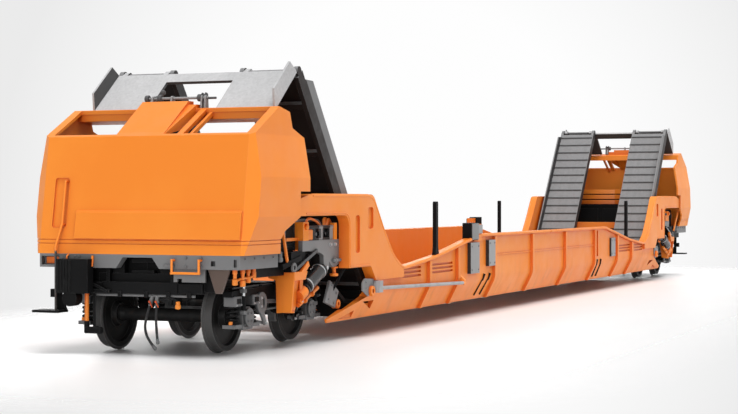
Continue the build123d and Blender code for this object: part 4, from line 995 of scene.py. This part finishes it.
class RAILCAR_OT_bolts(bpy.types.Operator):
    """Bolt heads on the axle boxes, headstocks and brackets"""
    bl_idname = "railcar.bolts"
    bl_label = "Bolt heads"

    cover_radius, cover_y = 0.066, 1.118
    # From the axle's middle, along the car and up
    box_corners = ((-0.088, -0.09), (0.088, -0.09), (-0.086, 0.082), (0.086, 0.082))
    box_y = 1.085
    # Along the car and height
    bracket_places = ((9.24, 1.12), (9.24, 1.27), (9.40, 1.28), (9.55, 1.28), (9.40, 1.08))

    def execute(self, context):
        boxes = []
        angles = np.radians((45, 135, 225, 315))
        cover_places = self.cover_radius * np.stack([np.cos(angles), np.sin(angles)], 1)
        for axle in AXLE_OFFSETS:
            x = BOGIE_X + axle
            places = [(x + dx, self.cover_y, AXLE_Z + dz) for dx, dz in cover_places]
            places += [(x + dx, self.box_y, AXLE_Z + dz) for dx, dz in self.box_corners]
            boxes += bolts(places, (0, 1, 0), 0.026)
        make_ends("axle_box_bolts", mirrored(boxes), grey_paint(), "bogie_{end}")

        heads = bolts(along((11.30, HEAD_HALF, 1.17), (12.05, HEAD_HALF, 1.17), 4), (0, 1, 0), 0.022)
        make_ends("headstock_bolts", mirrored(heads), grey_paint(), "car")

        bracket = bolts([(x, GOOSE_IN, z) for x, z in self.bracket_places], (0, 1, 0), 0.045)
        make_ends("bracket_bolts", mirrored(bracket), bright_steel(), "car")
        return {"FINISHED"}


class RAILCAR_OT_hood_bay(bpy.types.Operator):
    """Cabinets, stays and pipes under the hoods"""
    bl_idname = "railcar.hood_bay"
    bl_label = "Hood bay"

    cabinet_doors = (10.45, 10.80)
    drum_x, drum_z = 10.02, 0.985
    drum = ((0.02, 0), (0.10, 0.012), (0.145, 0.045), (0.148, 0.06), (0.148, 0.23), (0.145, 0.245),
            (0.10, 0.278), (0.02, 0.29))
    strap_places = (1.0, 1.13)
    tap = ((0.030, 0), (0.042, 0.01), (0.042, 0.05), (0.034, 0.06), (0.034, 0.12), (0.022, 0.135))
    filter_cup = ((0.03, 0), (0.055, 0.015), (0.055, 0.07), (0.04, 0.09), (0.04, 0.12), (0.02, 0.13))
    grey_pipe = ((10.33, 1.18, 1.22), (10.33, 1.18, 1.50), (10.26, 1.20, 1.60), (9.95, 1.22, 1.60),
                 (9.62, 1.22, 1.60), (9.56, 1.22, 1.48))
    orange_pipe = ((10.22, 1.29, 1.48), (10.20, 1.29, 1.60), (10.05, 1.28, 1.63), (9.80, 1.28, 1.57),
                   (9.70, 1.28, 1.50))
    valve_places = (9.58, 9.74, 9.90, 10.05)
    slat_x = 10.47

    def cabinets(self):
        """The cabinet with louvred doors, the beams beside the deck and the plates behind the headstock."""
        dark = [slab(10.42, 11.14, 0.94, 1.22, DECK_TOP - 0.01, 1.62, 0.012)]
        for x in self.cabinet_doors:
            dark.append(slab(x, x + 0.31, 1.215, 1.234, 1.235, 1.595, 0.008))
            dark += [slab(x + 0.05, x + 0.21, 1.23, 1.244, z, z + 0.014, 0.004)
                     for z in np.arange(1.27, 1.37, 0.032)]
            dark += [rod((x + 0.01, 1.238, z), (x + 0.01, 1.238, z + 0.05), 0.009) for z in (1.27, 1.51)]
        dark.append(slab(11.90, 11.955, 0.0, 1.24, 0.925, 1.175, 0.008))
        dark.append(slab(10.74, 11.90, 1.20, 1.245, 0.925, 1.175, 0.008))
        dark.append(slab(12.032, 12.058, 0.48, 1.06, 0.77, 1.05, 0.006))
        dark.append(slab(12.045, 12.12, 0.50, 0.84, 0.745, 0.875, 0.01))
        dark.append(beam((10.99, 1.338, 1.035), (10.46, 1.338, 1.135), 0.032, 0.062))
        return dark

    def bent_hose(self, k):
        """One of two bent pipes side by side: the second, k = 1, stands further out and bends lower."""
        return pipe(((9.12, 1.10 + 0.07 * k, 1.325), (9.13, 1.10 + 0.07 * k, 1.48),
                     (9.24 + 0.05 * k, 1.14 + 0.06 * k, 1.62), (9.42, 1.18 + 0.05 * k, 1.59 - 0.05 * k),
                     (9.48, 1.24 + 0.02 * k, 1.46)), 0.026)

    def execute(self, context):
        make_ends("bay_cabinets", mirrored(self.cabinets()), dark_paint(), "car")

        grey = [beam((x + 0.27, 1.246, 1.40), (x + 0.27, 1.246, 1.50), 0.012, 0.02)
                for x in self.cabinet_doors]
        grey.append(pipe(self.grey_pipe, 0.019))
        grey.append(lathe(self.tap, (11.06, 1.335, 1.10), (0, 0, 1)))
        grey.append(eye((10.70, 1.345, 1.02), (0, 1, 0), 0.062, 0.028, 0.03))
        make_ends("bay_pipes", mirrored(grey), grey_paint(), "car")

        orange = [beam((11.14, 1.40, 1.60), (10.86, 1.345, 1.10), 0.028, 0.05),
                  slab(11.10, 11.18, 1.36, 1.475, 1.57, 1.63, 0.008),
                  beam((10.72, 1.25, 1.365), (10.06, 1.25, 1.365), 0.034, 0.04),
                  slab(10.07, 10.27, 1.20, 1.335, 1.343, 1.49, 0.014),
                  lathe(self.filter_cup, (10.31, 1.25, 1.52), (0, 1, 0)),
                  self.bent_hose(0), self.bent_hose(1), pipe(self.orange_pipe, 0.017)]
        make_ends("bay_stays", mirrored(orange), orange_paint(), "car")

        black = [slab(9.46, 10.16, 1.195, 1.275, 1.335, 1.505, 0.01)]
        black += [rod((x, 1.268, 1.42), (x, 1.30, 1.42), 0.03) for x in self.valve_places]
        black.append(lathe(self.drum, (self.drum_x, 0.93, self.drum_z), (0, 1, 0), 32))
        for y in self.strap_places:
            black.append(eye((self.drum_x, y, self.drum_z), (0, 1, 0), 0.156, 0.14, 0.03))
            black.append(slab(9.985, 10.135, y, y + 0.03, 1.11, 1.18, 0.005))
        make_ends("bay_valves", mirrored(black), gloss_black(), "car")

        slats = [beam((self.slat_x, 0.0, z), (self.slat_x, 0.90, z), 0.05, 0.10)
                 for z in np.arange(1.30, 2.06, 0.125)]
        make_ends("bay_slats", mirrored(slats), body_paint("slat_paint"), "car")
        posts = [slab(10.43, 10.51, 0.89, 0.94, 1.20, 2.10, 0.006),
                 slab(10.50, 10.515, 0.0, 0.90, 1.24, 2.06, 0.004)]
        make_ends("bay_posts", mirrored(posts), dark_paint(), "car")
        return {"FINISHED"}


class RAILCAR_OT_jack_fittings(bpy.types.Operator):
    """Collars, eyes and lugs on the jacks"""
    bl_idname = "railcar.jack_fittings"
    bl_label = "Jack fittings"

    foot, head = np.array((10.33, 1.31, 0.71)), np.array((9.72, 1.31, 0.97))
    barrel_lift = np.array((0.0, 0.0, 0.028))
    strut_foot, strut_head = np.array((10.48, 1.33, 0.54)), np.array((9.90, 1.33, 0.735))
    collar = ((0.062, 0), (0.082, 0.006), (0.082, 0.030), (0.074, 0.036), (0.062, 0.036))
    barrel = ((0.060, 0), (0.092, 0.006), (0.098, 0.014), (0.098, 0.46), (0.092, 0.468), (0.072, 0.476),
              (0.060, 0.476))
    band = ((0.092, 0.0), (0.104, 0.0), (0.104, 0.020), (0.092, 0.020))
    # Across the car and height of the orange plate that carries the jack's foot
    carrier = ((1.02, 0.955), (1.39, 0.965), (1.345, 0.47), (1.135, 0.452), (1.125, 0.86), (1.02, 0.89))

    def execute(self, context):
        run = self.head - self.foot
        way = run / np.linalg.norm(run)
        lifted = self.foot + self.barrel_lift
        dark = [lathe(self.collar, self.foot + run * share, way, 26) for share in (0.05, 0.90)]
        dark.append(lathe(self.barrel, lifted + run * 0.10, way, 36))
        dark.append(beam((10.64, 1.352, 0.995), (10.00, 1.352, 1.215), 0.032, 0.045))
        make_ends("jack_collars", mirrored(dark), gloss_black(), "car")
        bright = [hoop(self.band, lifted + run * share, way) for share in (0.14, 0.76)]
        bright += [rod((9.72, 1.232, 0.985), (9.72, 1.385, 0.985), 0.026),
                   rod((10.44, 1.30, 0.60), (10.44, 1.36, 0.60), 0.026)]
        make_ends("jack_pins", mirrored(bright), bright_steel(), "car")
        orange = [lathe(boss(0.030, 0.046, 0.008, 0.058), (10.44, 1.30, 0.60), (0, 1, 0)),
                  plate(((10.38, 0.96), (10.42, 0.64), (10.47, 0.64), (10.50, 0.96)), 1.326, 1.345),
                  plate(self.carrier, 10.715, 10.738, "cross", 0.006),
                  plate(((10.735, 0.965), (10.735, 0.86), (10.42, 0.86), (10.36, 0.965)), 1.328, 1.392),
                  beam((10.55, 1.36, 0.90), (10.30, 1.36, 1.06), 0.05, 0.07)]
        strut = self.strut_head - self.strut_foot
        orange += [lathe(boss(0.022, 0.036, 0.006, 0.036), self.strut_foot + strut * share, strut)
                   for share in (0.25, 0.62)]
        make_ends("jack_lugs", mirrored(orange), orange_paint(), "car")
        return {"FINISHED"}


class RAILCAR_OT_platform_ends(bpy.types.Operator):
    """Guide plates, rollers and locking bars where the platform meets the ends"""
    bl_idname = "railcar.platform_ends"
    bl_label = "Platform ends"

    # Along the car and height of each plate's corners
    guide_outline = ((9.33, 0.80), (9.06, 0.65), (9.18, 0.43), (9.50, 0.52))
    lock_outline = ((8.36, 0.62), (8.36, 0.785), (8.66, 0.80), (8.74, 0.75), (8.74, 0.64), (8.54, 0.55))
    guide_bolts = ((9.30, 1.25, 0.74), (9.16, 1.25, 0.62), (9.24, 1.25, 0.50), (9.40, 1.25, 0.56))
    lock_bolts = ((8.64, 1.462, 0.665), (8.64, 1.462, 0.75))
    collar = ((0.021, 0), (0.036, 0.004), (0.036, 0.035), (0.021, 0.04))
    roller = ((0.018, 0), (0.024, 0.005), (0.024, 0.075), (0.055, 0.082), (0.055, 0.108), (0.045, 0.116))

    def execute(self, context):
        pale = [plate(self.guide_outline, 1.205, 1.25, "side", 0.008),
                plate(self.lock_outline, 1.434, 1.462, "side", 0.006)]
        pale += bolts(self.lock_bolts, (0, 1, 0), 0.026)
        pale += bolts(self.guide_bolts, (0, 1, 0), 0.03)
        pale.append(rod((9.50, 1.36, 1.07), (9.08, 1.36, 1.07), 0.021))
        pale += [lathe(self.collar, (x, 1.36, 1.07), (-1, 0, 0)) for x in (9.46, 9.14)]
        guide_paint = grey_coat("guide_paint", (0.26, 0.26, 0.262))
        make_ends("guide_plates", mirrored(pale), guide_paint, "car")
        hanger = beam((9.23, 1.226, 0.66), (9.13, 1.375, 0.985), 0.05, 0.03)
        make_ends("guide_hangers", mirrored([hanger]), dark_paint(), "car")
        orange = [eye((9.10, 1.175, 0.478), (0, 1, 0), 0.062, 0.026, 0.09),
                  lathe(self.roller, (9.37, 1.315, 0.975), (0, 0, -1)),
                  slab(9.31, 9.43, 1.30, 1.352, 0.962, 0.985, 0.005),
                  eye((8.47, 1.455, 0.62), (0, 1, 0), 0.072, 0.032, 0.05)]
        make_ends("guide_rollers", mirrored(orange), orange_paint(), "car")
        return {"FINISHED"}


class RAILCAR_OT_bogie_fittings(bpy.types.Operator):
    """Spring boxes, dampers, brake levers and axle box rings on the bogies"""
    bl_idname = "railcar.bogie_fittings"
    bl_label = "Bogie fittings"

    face = 1.098
    pipe_y = 1.02
    # From the axle's middle along the car, and height
    keeper = ((-0.12, 0.30), (0.12, 0.30), (0.15, 0.37), (0.09, 0.34), (-0.09, 0.34), (-0.15, 0.37))
    # From the bogie's middle along the car, and height
    brake_pipe = ((-1.15, 0.803), (-0.6, 0.812), (0.6, 0.812), (1.15, 0.803))
    cylinder = ((0.03, 0), (0.085, 0.01), (0.095, 0.03), (0.095, 0.20), (0.085, 0.22), (0.03, 0.23))

    def execute(self, context):
        grey, bright, dark, orange = [], [], [], []
        for axle, side in zip(AXLE_OFFSETS, (-1.0, 1.0)):
            x = BOGIE_X + axle
            for shift in SPRING_SHIFTS:
                middle = x + shift
                grey.append(slab(middle - 0.088, middle + 0.088, 0.925, 1.092, 0.585, 0.712, 0.01))
                dark.append(slab(middle - 0.05, middle + 0.05, 1.088, 1.102, 0.62, 0.68, 0.004))
                bright += bolts([(middle + dx, 1.092, 0.605) for dx in (-0.06, 0.06)], (0, 1, 0), 0.02)
            grey.append(eye((x, 1.105, AXLE_Z), (0, 1, 0), 0.112, 0.088, 0.016))
            grey.append(plate([(x + dx, z) for dx, z in self.keeper], 1.02, 1.095, "side", 0.006))
            damper = x + side * 0.125
            bright.append(rod((damper, self.face, 0.88), (damper, self.face, 0.69), 0.018))
            dark.append(rod((damper, self.face, 0.71), (damper, self.face, 0.50), 0.027))
            grey += [slab(damper - 0.035, damper + 0.035, 1.055, 1.125, z, z + 0.05, 0.006)
                     for z in (0.745, 0.485)]
            orange.append(lathe(boss(0.012, 0.024, 0.006, 0.046), (x + side * 0.315, 1.02, 0.368), (0, 0, 1)))
            inner = x - side * 0.36
            toe = inner - side * 0.12
            lever = ((inner - 0.04, 0.70), (inner + 0.05, 0.70), (inner + 0.06, 0.52),
                     (inner - side * 0.10, 0.32), (inner - side * 0.16, 0.33), (inner - 0.05, 0.55))
            grey.append(plate(lever, 1.066, self.face, "side", 0.006))
            places = [(bolt_x, self.face, z) for bolt_x, z in ((inner, 0.66), (inner, 0.56), (toe, 0.345))]
            bright += bolts(places, (0, 1, 0), 0.03)
            grey.append(beam((toe, 1.05, 0.345), (x - side * 0.16, 1.05, 0.40), 0.026, 0.034))
            grey.append(rod((inner, 1.03, 0.545), (inner, 0.80, 0.50), 0.02))
        grey.append(eye((BOGIE_X + 0.52, 1.055, 0.60), (0, 1, 0), 0.135, 0.078, 0.045))
        grey.append(beam((BOGIE_X - 0.42, 1.055, 0.585), (BOGIE_X + 0.42, 1.055, 0.61), 0.03, 0.05))
        grey.append(rod((BOGIE_X - 0.50, 1.02, 0.51), (BOGIE_X + 0.50, 1.02, 0.51), 0.016))
        grey.append(pipe([(BOGIE_X + dx, self.pipe_y, z) for dx, z in self.brake_pipe], 0.012))
        dark.append(lathe(self.cylinder, (BOGIE_X - 0.10, 0.955, 0.52), (-1, 0, 0)))
        dark += [slab(BOGIE_X + dx, BOGIE_X + dx + 0.06, 0.94, 1.05, 0.79, 0.815, 0.005)
                 for dx in (-0.42, 0.0, 0.42)]
        make_ends("bogie_castings", mirrored(grey), grey_paint(), "bogie_{end}")
        make_ends("bogie_pins", mirrored(bright), bright_steel(), "bogie_{end}")
        make_ends("bogie_boxes", mirrored(dark), dark_paint(), "bogie_{end}")
        make_ends("bogie_plugs", mirrored(orange), orange_paint(), "bogie_{end}")
        return {"FINISHED"}


class RAILCAR_OT_head_fittings(bpy.types.Operator):
    """Cocks, levers, rods and hooks at the headstocks"""
    bl_idname = "railcar.head_fittings"
    bl_label = "Headstock fittings"

    cock_places = (0.13, 0.215)
    cock_body = ((0.016, 0), (0.034, 0.008), (0.034, 0.05), (0.026, 0.058), (0.026, 0.09), (0.012, 0.096))
    # Along the car, across it and lower end of each valve that hangs under the deck
    valves = ((12.06, 1.24, 0.86), (11.92, 1.27, 0.84), (11.78, 1.27, 0.88), (11.64, 1.27, 0.93))
    valve_top = 1.055
    valve_pipe = ((12.06, 1.24, 0.90), (12.0, 1.25, 0.93), (11.86, 1.27, 0.94), (11.70, 1.27, 0.94),
                  (11.64, 1.27, 0.97))
    clip = ((0.018, 0), (0.026, 0), (0.026, 0.018), (0.018, 0.018))

    def valve(self, x, y, low):
        """A hanging valve: a swollen foot, a stem and a collar under the deck."""
        length = self.valve_top - low
        profile = ((0.02, 0), (0.034, 0.006), (0.034, 0.07), (0.022, 0.08), (0.022, length - 0.065),
                   (0.03, length - 0.055), (0.03, length))
        return lathe(profile, (x, y, low), (0, 0, 1))

    def execute(self, context):
        x = HOSE_X
        red = [beam((x + 0.03, y, 0.655), (x + 0.05, y + 0.05, 0.585), 0.016, 0.012)
               for y in self.cock_places]
        red += [lathe(boss(0.008, 0.014, 0.004, 0.024), (x + 0.018, y, 0.65), (1, 0, 0))
                for y in self.cock_places]
        make_ends("cock_handles", red, red_handle(), "car")

        orange = [lathe(self.cock_body, (x, 0.50, 0.565), (0, 0, 1)),
                  rod((HEAD_X - 0.05, -0.73, 0.75), (HEAD_X - 0.05, -0.73, 0.39), 0.027),
                  beam((HEAD_X + 0.012, -0.61, 1.19), (HEAD_X + 0.03, -0.61, 1.06), 0.028, 0.018),
                  pipe(((HEAD_X - 0.01, -0.955, 1.20), (HEAD_X + 0.04, -0.955, 1.19),
                        (HEAD_X + 0.045, -0.955, 1.14), (HEAD_X + 0.02, -0.955, 1.125)), 0.011),
                  slab(HEAD_X - 0.075, HEAD_X - 0.06, -1.31, -1.12, 1.085, 1.17, 0.004)]
        orange += [self.valve(*place) for place in self.valves]
        orange.append(pipe(self.valve_pipe, 0.016))
        make_ends("head_valves", orange, orange_paint(), "car")

        black = [slab(HEAD_X - 0.09, HEAD_X - 0.01, -0.75, -0.52, 0.25, 0.33, 0.01),
                 rod((HEAD_X - 0.05, -0.73, 0.40), (HEAD_X - 0.05, -0.73, 0.31), 0.034),
                 rod((HEAD_X - 0.05, -0.60, 0.34), (HEAD_X - 0.05, -0.60, 0.25), 0.04),
                 beam((HEAD_X - 0.045, -0.62, 0.75), (HEAD_X - 0.045, -0.62, 0.32), 0.04, 0.012),
                 beam((HEAD_X - 0.03, -0.73, 0.89), (HEAD_X - 0.03, -0.44, 0.77), 0.022, 0.03),
                 pipe(((x, 0.50, 0.66), (x + 0.02, 0.44, 0.70), (x + 0.01, 0.33, 0.70),
                       (x, 0.24, 0.665)), 0.013),
                 slab(HEAD_X - 0.13, HEAD_X - 0.02, -0.80, -0.40, 0.74, 0.79, 0.008),
                 slab(HEAD_X - 0.135, HEAD_X - 0.118, -0.60, 0.60, 0.862, 0.985, 0.004)]
        black += [slab(HEAD_X - 0.10, HEAD_X - 0.045, y, y + 0.05, 0.70, 0.77, 0.005)
                  for y in (-0.70, -0.30, 0.06, 0.36, 0.64)]
        make_ends("head_levers", black, dark_paint(), "car")

        grey = [hoop(self.clip, (x, y, z), (0, 0, 1)) for y in self.cock_places for z in (0.60, 0.63)]
        places = [(HEAD_X, y, z) for y in (-0.86, -0.80, 0.66, 0.86) for z in (1.075, 1.18)]
        grey += bolts(places, (1, 0, 0), 0.026)
        grey.append(slab(HEAD_X - 0.002, HEAD_X + 0.014, 0.36, 0.50, 1.06, 1.10, 0.004))
        make_ends("head_bolts", grey, grey_paint(), "car")
        return {"FINISHED"}


class RAILCAR_OT_wall_fittings(bpy.types.Operator):
    """Lock blocks, braces, bolts, edge lips, window rims and weld beads on the side walls"""
    bl_idname = "railcar.wall_fittings"
    bl_label = "Wall fittings"

    brace_places = (3.48, 3.76)
    # Along the car from and to, height from and to, and depth of each lock plate's four bolts
    bolt_patterns = (
        (4.07, 4.39, 0.75, 1.12, 0.058),
        (3.26, 3.495, 0.83, 1.155, 0.058),
        (-4.69, -4.46, 0.74, 1.02, 0.040),
    )
    # Along the car and height of the wall's top edge, from the middle of the car to the gooseneck's end
    top_edge = ((0.0, 1.31), (3.95, 1.31), (6.0, 1.02), (7.3, 0.904), (7.676, 1.086), (8.048, 1.471),
                (8.39, 1.88), (8.50, 1.934), (10.45, 1.934))
    lip_inset, lip_y, lip_radius = 0.020, 1.471, 0.026
    # Along the car and height of the rim round the gooseneck's window and of the rim under its arm
    rim_routes = (
        ((10.62, 1.690), (9.62, 1.690), (9.238, 1.690), (9.238, 1.34), (9.238, 0.99)),
        ((8.56, 0.985), (8.92, 0.985), (9.23, 0.985)),
    )
    rim_radius = 0.009
    bead_reach, bead_z, bead_radius = 3.4, 1.288, 0.006

    def lip(self):
        """A round bar just inside the top edge, whose corners are softened by a running mean."""
        corners = np.array(self.top_edge)
        runs = np.concatenate([[0.0], np.cumsum(np.linalg.norm(np.diff(corners, axis=0), axis=1))])
        s = np.linspace(0, runs[-1], 420)
        edge = np.stack([np.interp(s, runs, c) for c in corners.T])
        edge = np.stack([np.convolve(np.pad(c, 5, "edge"), np.ones(11) / 11, "valid") for c in edge], 1)
        slope = np.gradient(edge, axis=0)
        inward = np.stack([slope[:, 1], -slope[:, 0]], 1) / np.linalg.norm(slope, axis=1, keepdims=True)
        x, z = (edge + self.lip_inset * inward).T
        return tube(np.stack([x, np.full_like(s, self.lip_y), z], 1), self.lip_radius, 12)

    def bead(self):
        """A weld bead along the wall, its height a fine sine wave."""
        u = np.linspace(0, 1, 240)
        height = self.bead_z + 0.0012 * np.sin(u * 900)
        path = np.stack([self.bead_reach * (2 * u - 1), np.full_like(u, WALL_OUT + 0.004), height], 1)
        return tube(path, self.bead_radius, 6)

    def execute(self, context):
        braces = []
        for x in self.brace_places:
            braces.append(beam((x, 1.300, 0.315), (x - 0.07, 1.416, 0.56), 0.055, 0.03))
            braces.append(beam((x - 0.07, 1.416, 0.555), (x - 0.11, 1.446, 0.66), 0.055, 0.03))
        make_ends("wall_braces", mirrored(braces), dark_paint(), "car")
        # The lock block is dark paint under a pale face plate, so that its sides show as painted shade.
        block = slab(4.05, 4.38, 1.33, 1.490, 1.215, 1.492, 0.008)
        make_ends("lock_blocks", [block], dark_paint(), "car")

        places = [(x, WALL_OUT + depth, z) for x0, x1, z0, z1, depth in self.bolt_patterns
                  for x in (x0, x1) for z in (z0, z1)]
        make_ends("lock_bolts", bolts(places, (0, 1, 0), 0.024), bracket_paint(), "car")
        face = slab(4.06, 4.37, 1.488, 1.504, 1.225, 1.482, 0.005)
        make_ends("lock_faces", [face], bracket_paint(), "car")

        make_ends("wall_lips", mirrored([self.lip()]), orange_paint(), "car")
        rims = [pipe([(x, GOOSE_OUT, z) for x, z in route], self.rim_radius) for route in self.rim_routes]
        make_ends("gooseneck_rims", mirrored(rims), orange_paint(), "car")
        make("weld_beads_wall", mirrored([self.bead()]), orange_paint(), "car")
        return {"FINISHED"}


class RAILCAR_OT_hump_fittings(bpy.types.Operator):
    """Clevises and links on the shaft over the hood's hump"""
    bl_idname = "railcar.hump_fittings"
    bl_label = "Hump fittings"

    shaft = np.array((11.215, 0.0, 3.12))
    eye_places = (-0.26, -0.44, 0.30)
    knob = ((0.01, 0), (0.03, 0.008), (0.034, 0.03), (0.03, 0.052), (0.01, 0.06))

    # Places from the shaft's middle: the two ends of each link, then its width and depth
    links = (
        ((0.0, -0.235, 0.0), (-0.03, -0.215, 0.075), 0.03, 0.035),
        ((0.0, 0.325, -0.03), (-0.045, 0.35, 0.055), 0.024, 0.045),
        ((0.0, 0.385, -0.03), (-0.03, 0.40, 0.06), 0.024, 0.045),
        ((0.0, -0.43, -0.01), (-0.02, -0.27, 0.03), 0.02, 0.02),
    )
    # The two ends of each pin, then its radius
    pins = (
        ((0.0, 0.42, -0.005), (0.0, 0.55, -0.005), 0.015),
        ((-0.035, 0.335, 0.035), (-0.035, 0.415, 0.035), 0.014),
    )

    def execute(self, context):
        shaft = self.shaft
        grey = [eye(shaft + (0.0, y, 0.0), (0, 1, 0), 0.046, 0.015, 0.05) for y in self.eye_places]
        grey += [beam(shaft + start, shaft + stop, width, depth) for start, stop, width, depth in self.links]
        grey += [rod(shaft + start, shaft + stop, radius) for start, stop, radius in self.pins]
        grey.append(lathe(self.knob, shaft + (-0.03, -0.245, 0.078), (0, 1, 0)))
        make_ends("hump_links", grey, grey_coat("link_paint", (0.11, 0.11, 0.112)), "car")
        return {"FINISHED"}


class RAILCAR_OT_floor_fittings(bpy.types.Operator):
    """Lashing rings along the platform floor"""
    bl_idname = "railcar.floor_fittings"
    bl_label = "Floor fittings"

    reach, count = 6.6, 12
    ring_y, plate_low, plate_top = 1.16, 0.446, 0.458
    half_long, half_wide = 0.07, 0.06
    ring_radius, bar_radius = 0.045, 0.009

    def execute(self, context):
        angle = np.linspace(-np.pi, np.pi, 10, endpoint=False)
        bar = self.bar_radius * np.stack([np.cos(angle), 1 + np.sin(angle)], 1) + (self.ring_radius, 0.0)
        near, far = self.ring_y - self.half_wide, self.ring_y + self.half_wide
        plates, loops = [], []
        for x in np.linspace(-self.reach, self.reach, self.count):
            plates.append(slab(x - self.half_long, x + self.half_long, near, far,
                               self.plate_low, self.plate_top, 0.006))
            loops.append(hoop(bar, (x, self.ring_y, self.plate_top - 0.001), (0, 0, 1), 20))
        make("lashing_plates", mirrored(plates), grey_paint(), "car")
        make("lashing_rings", mirrored(loops), bright_steel(), "car")
        return {"FINISHED"}


class RAILCAR_PT_panel(bpy.types.Panel):
    """The car's sizes, colours and pieces"""
    bl_idname = "RAILCAR_PT_panel"
    bl_label = "Rail car"
    bl_space_type = "VIEW_3D"
    bl_region_type = "UI"
    bl_category = "Rail car"

    def draw(self, context):
        for group in (settings().sizes, settings().colours):
            box = self.layout.box()
            for key in group.__annotations__:
                box.prop(group, key)
        for operator in OPERATORS:
            self.layout.operator(operator.bl_idname)


OPERATORS = (
    RAILCAR_OT_stage,
    RAILCAR_OT_brake_hoses,
    RAILCAR_OT_finishes,
    RAILCAR_OT_springs,
    RAILCAR_OT_bolts,
    RAILCAR_OT_hood_bay,
    RAILCAR_OT_jack_fittings,
    RAILCAR_OT_platform_ends,
    RAILCAR_OT_bogie_fittings,
    RAILCAR_OT_head_fittings,
    RAILCAR_OT_wall_fittings,
    RAILCAR_OT_hump_fittings,
    RAILCAR_OT_floor_fittings,
)
CLASSES = (RailCarSizes, RailCarColours, RailCarSettings) + OPERATORS + (RAILCAR_PT_panel,)


def register():
    for cls in CLASSES:
        bpy.utils.register_class(cls)
    bpy.types.Scene.rail_car = bpy.props.PointerProperty(type=RailCarSettings)


def unregister():
    del bpy.types.Scene.rail_car
    for cls in reversed(CLASSES):
        bpy.utils.unregister_class(cls)


def main():
    register()
    for operator in OPERATORS:
        group, name = operator.bl_idname.split(".")
        getattr(getattr(bpy.ops, group), name)()


if __name__ == "__main__":
    main()
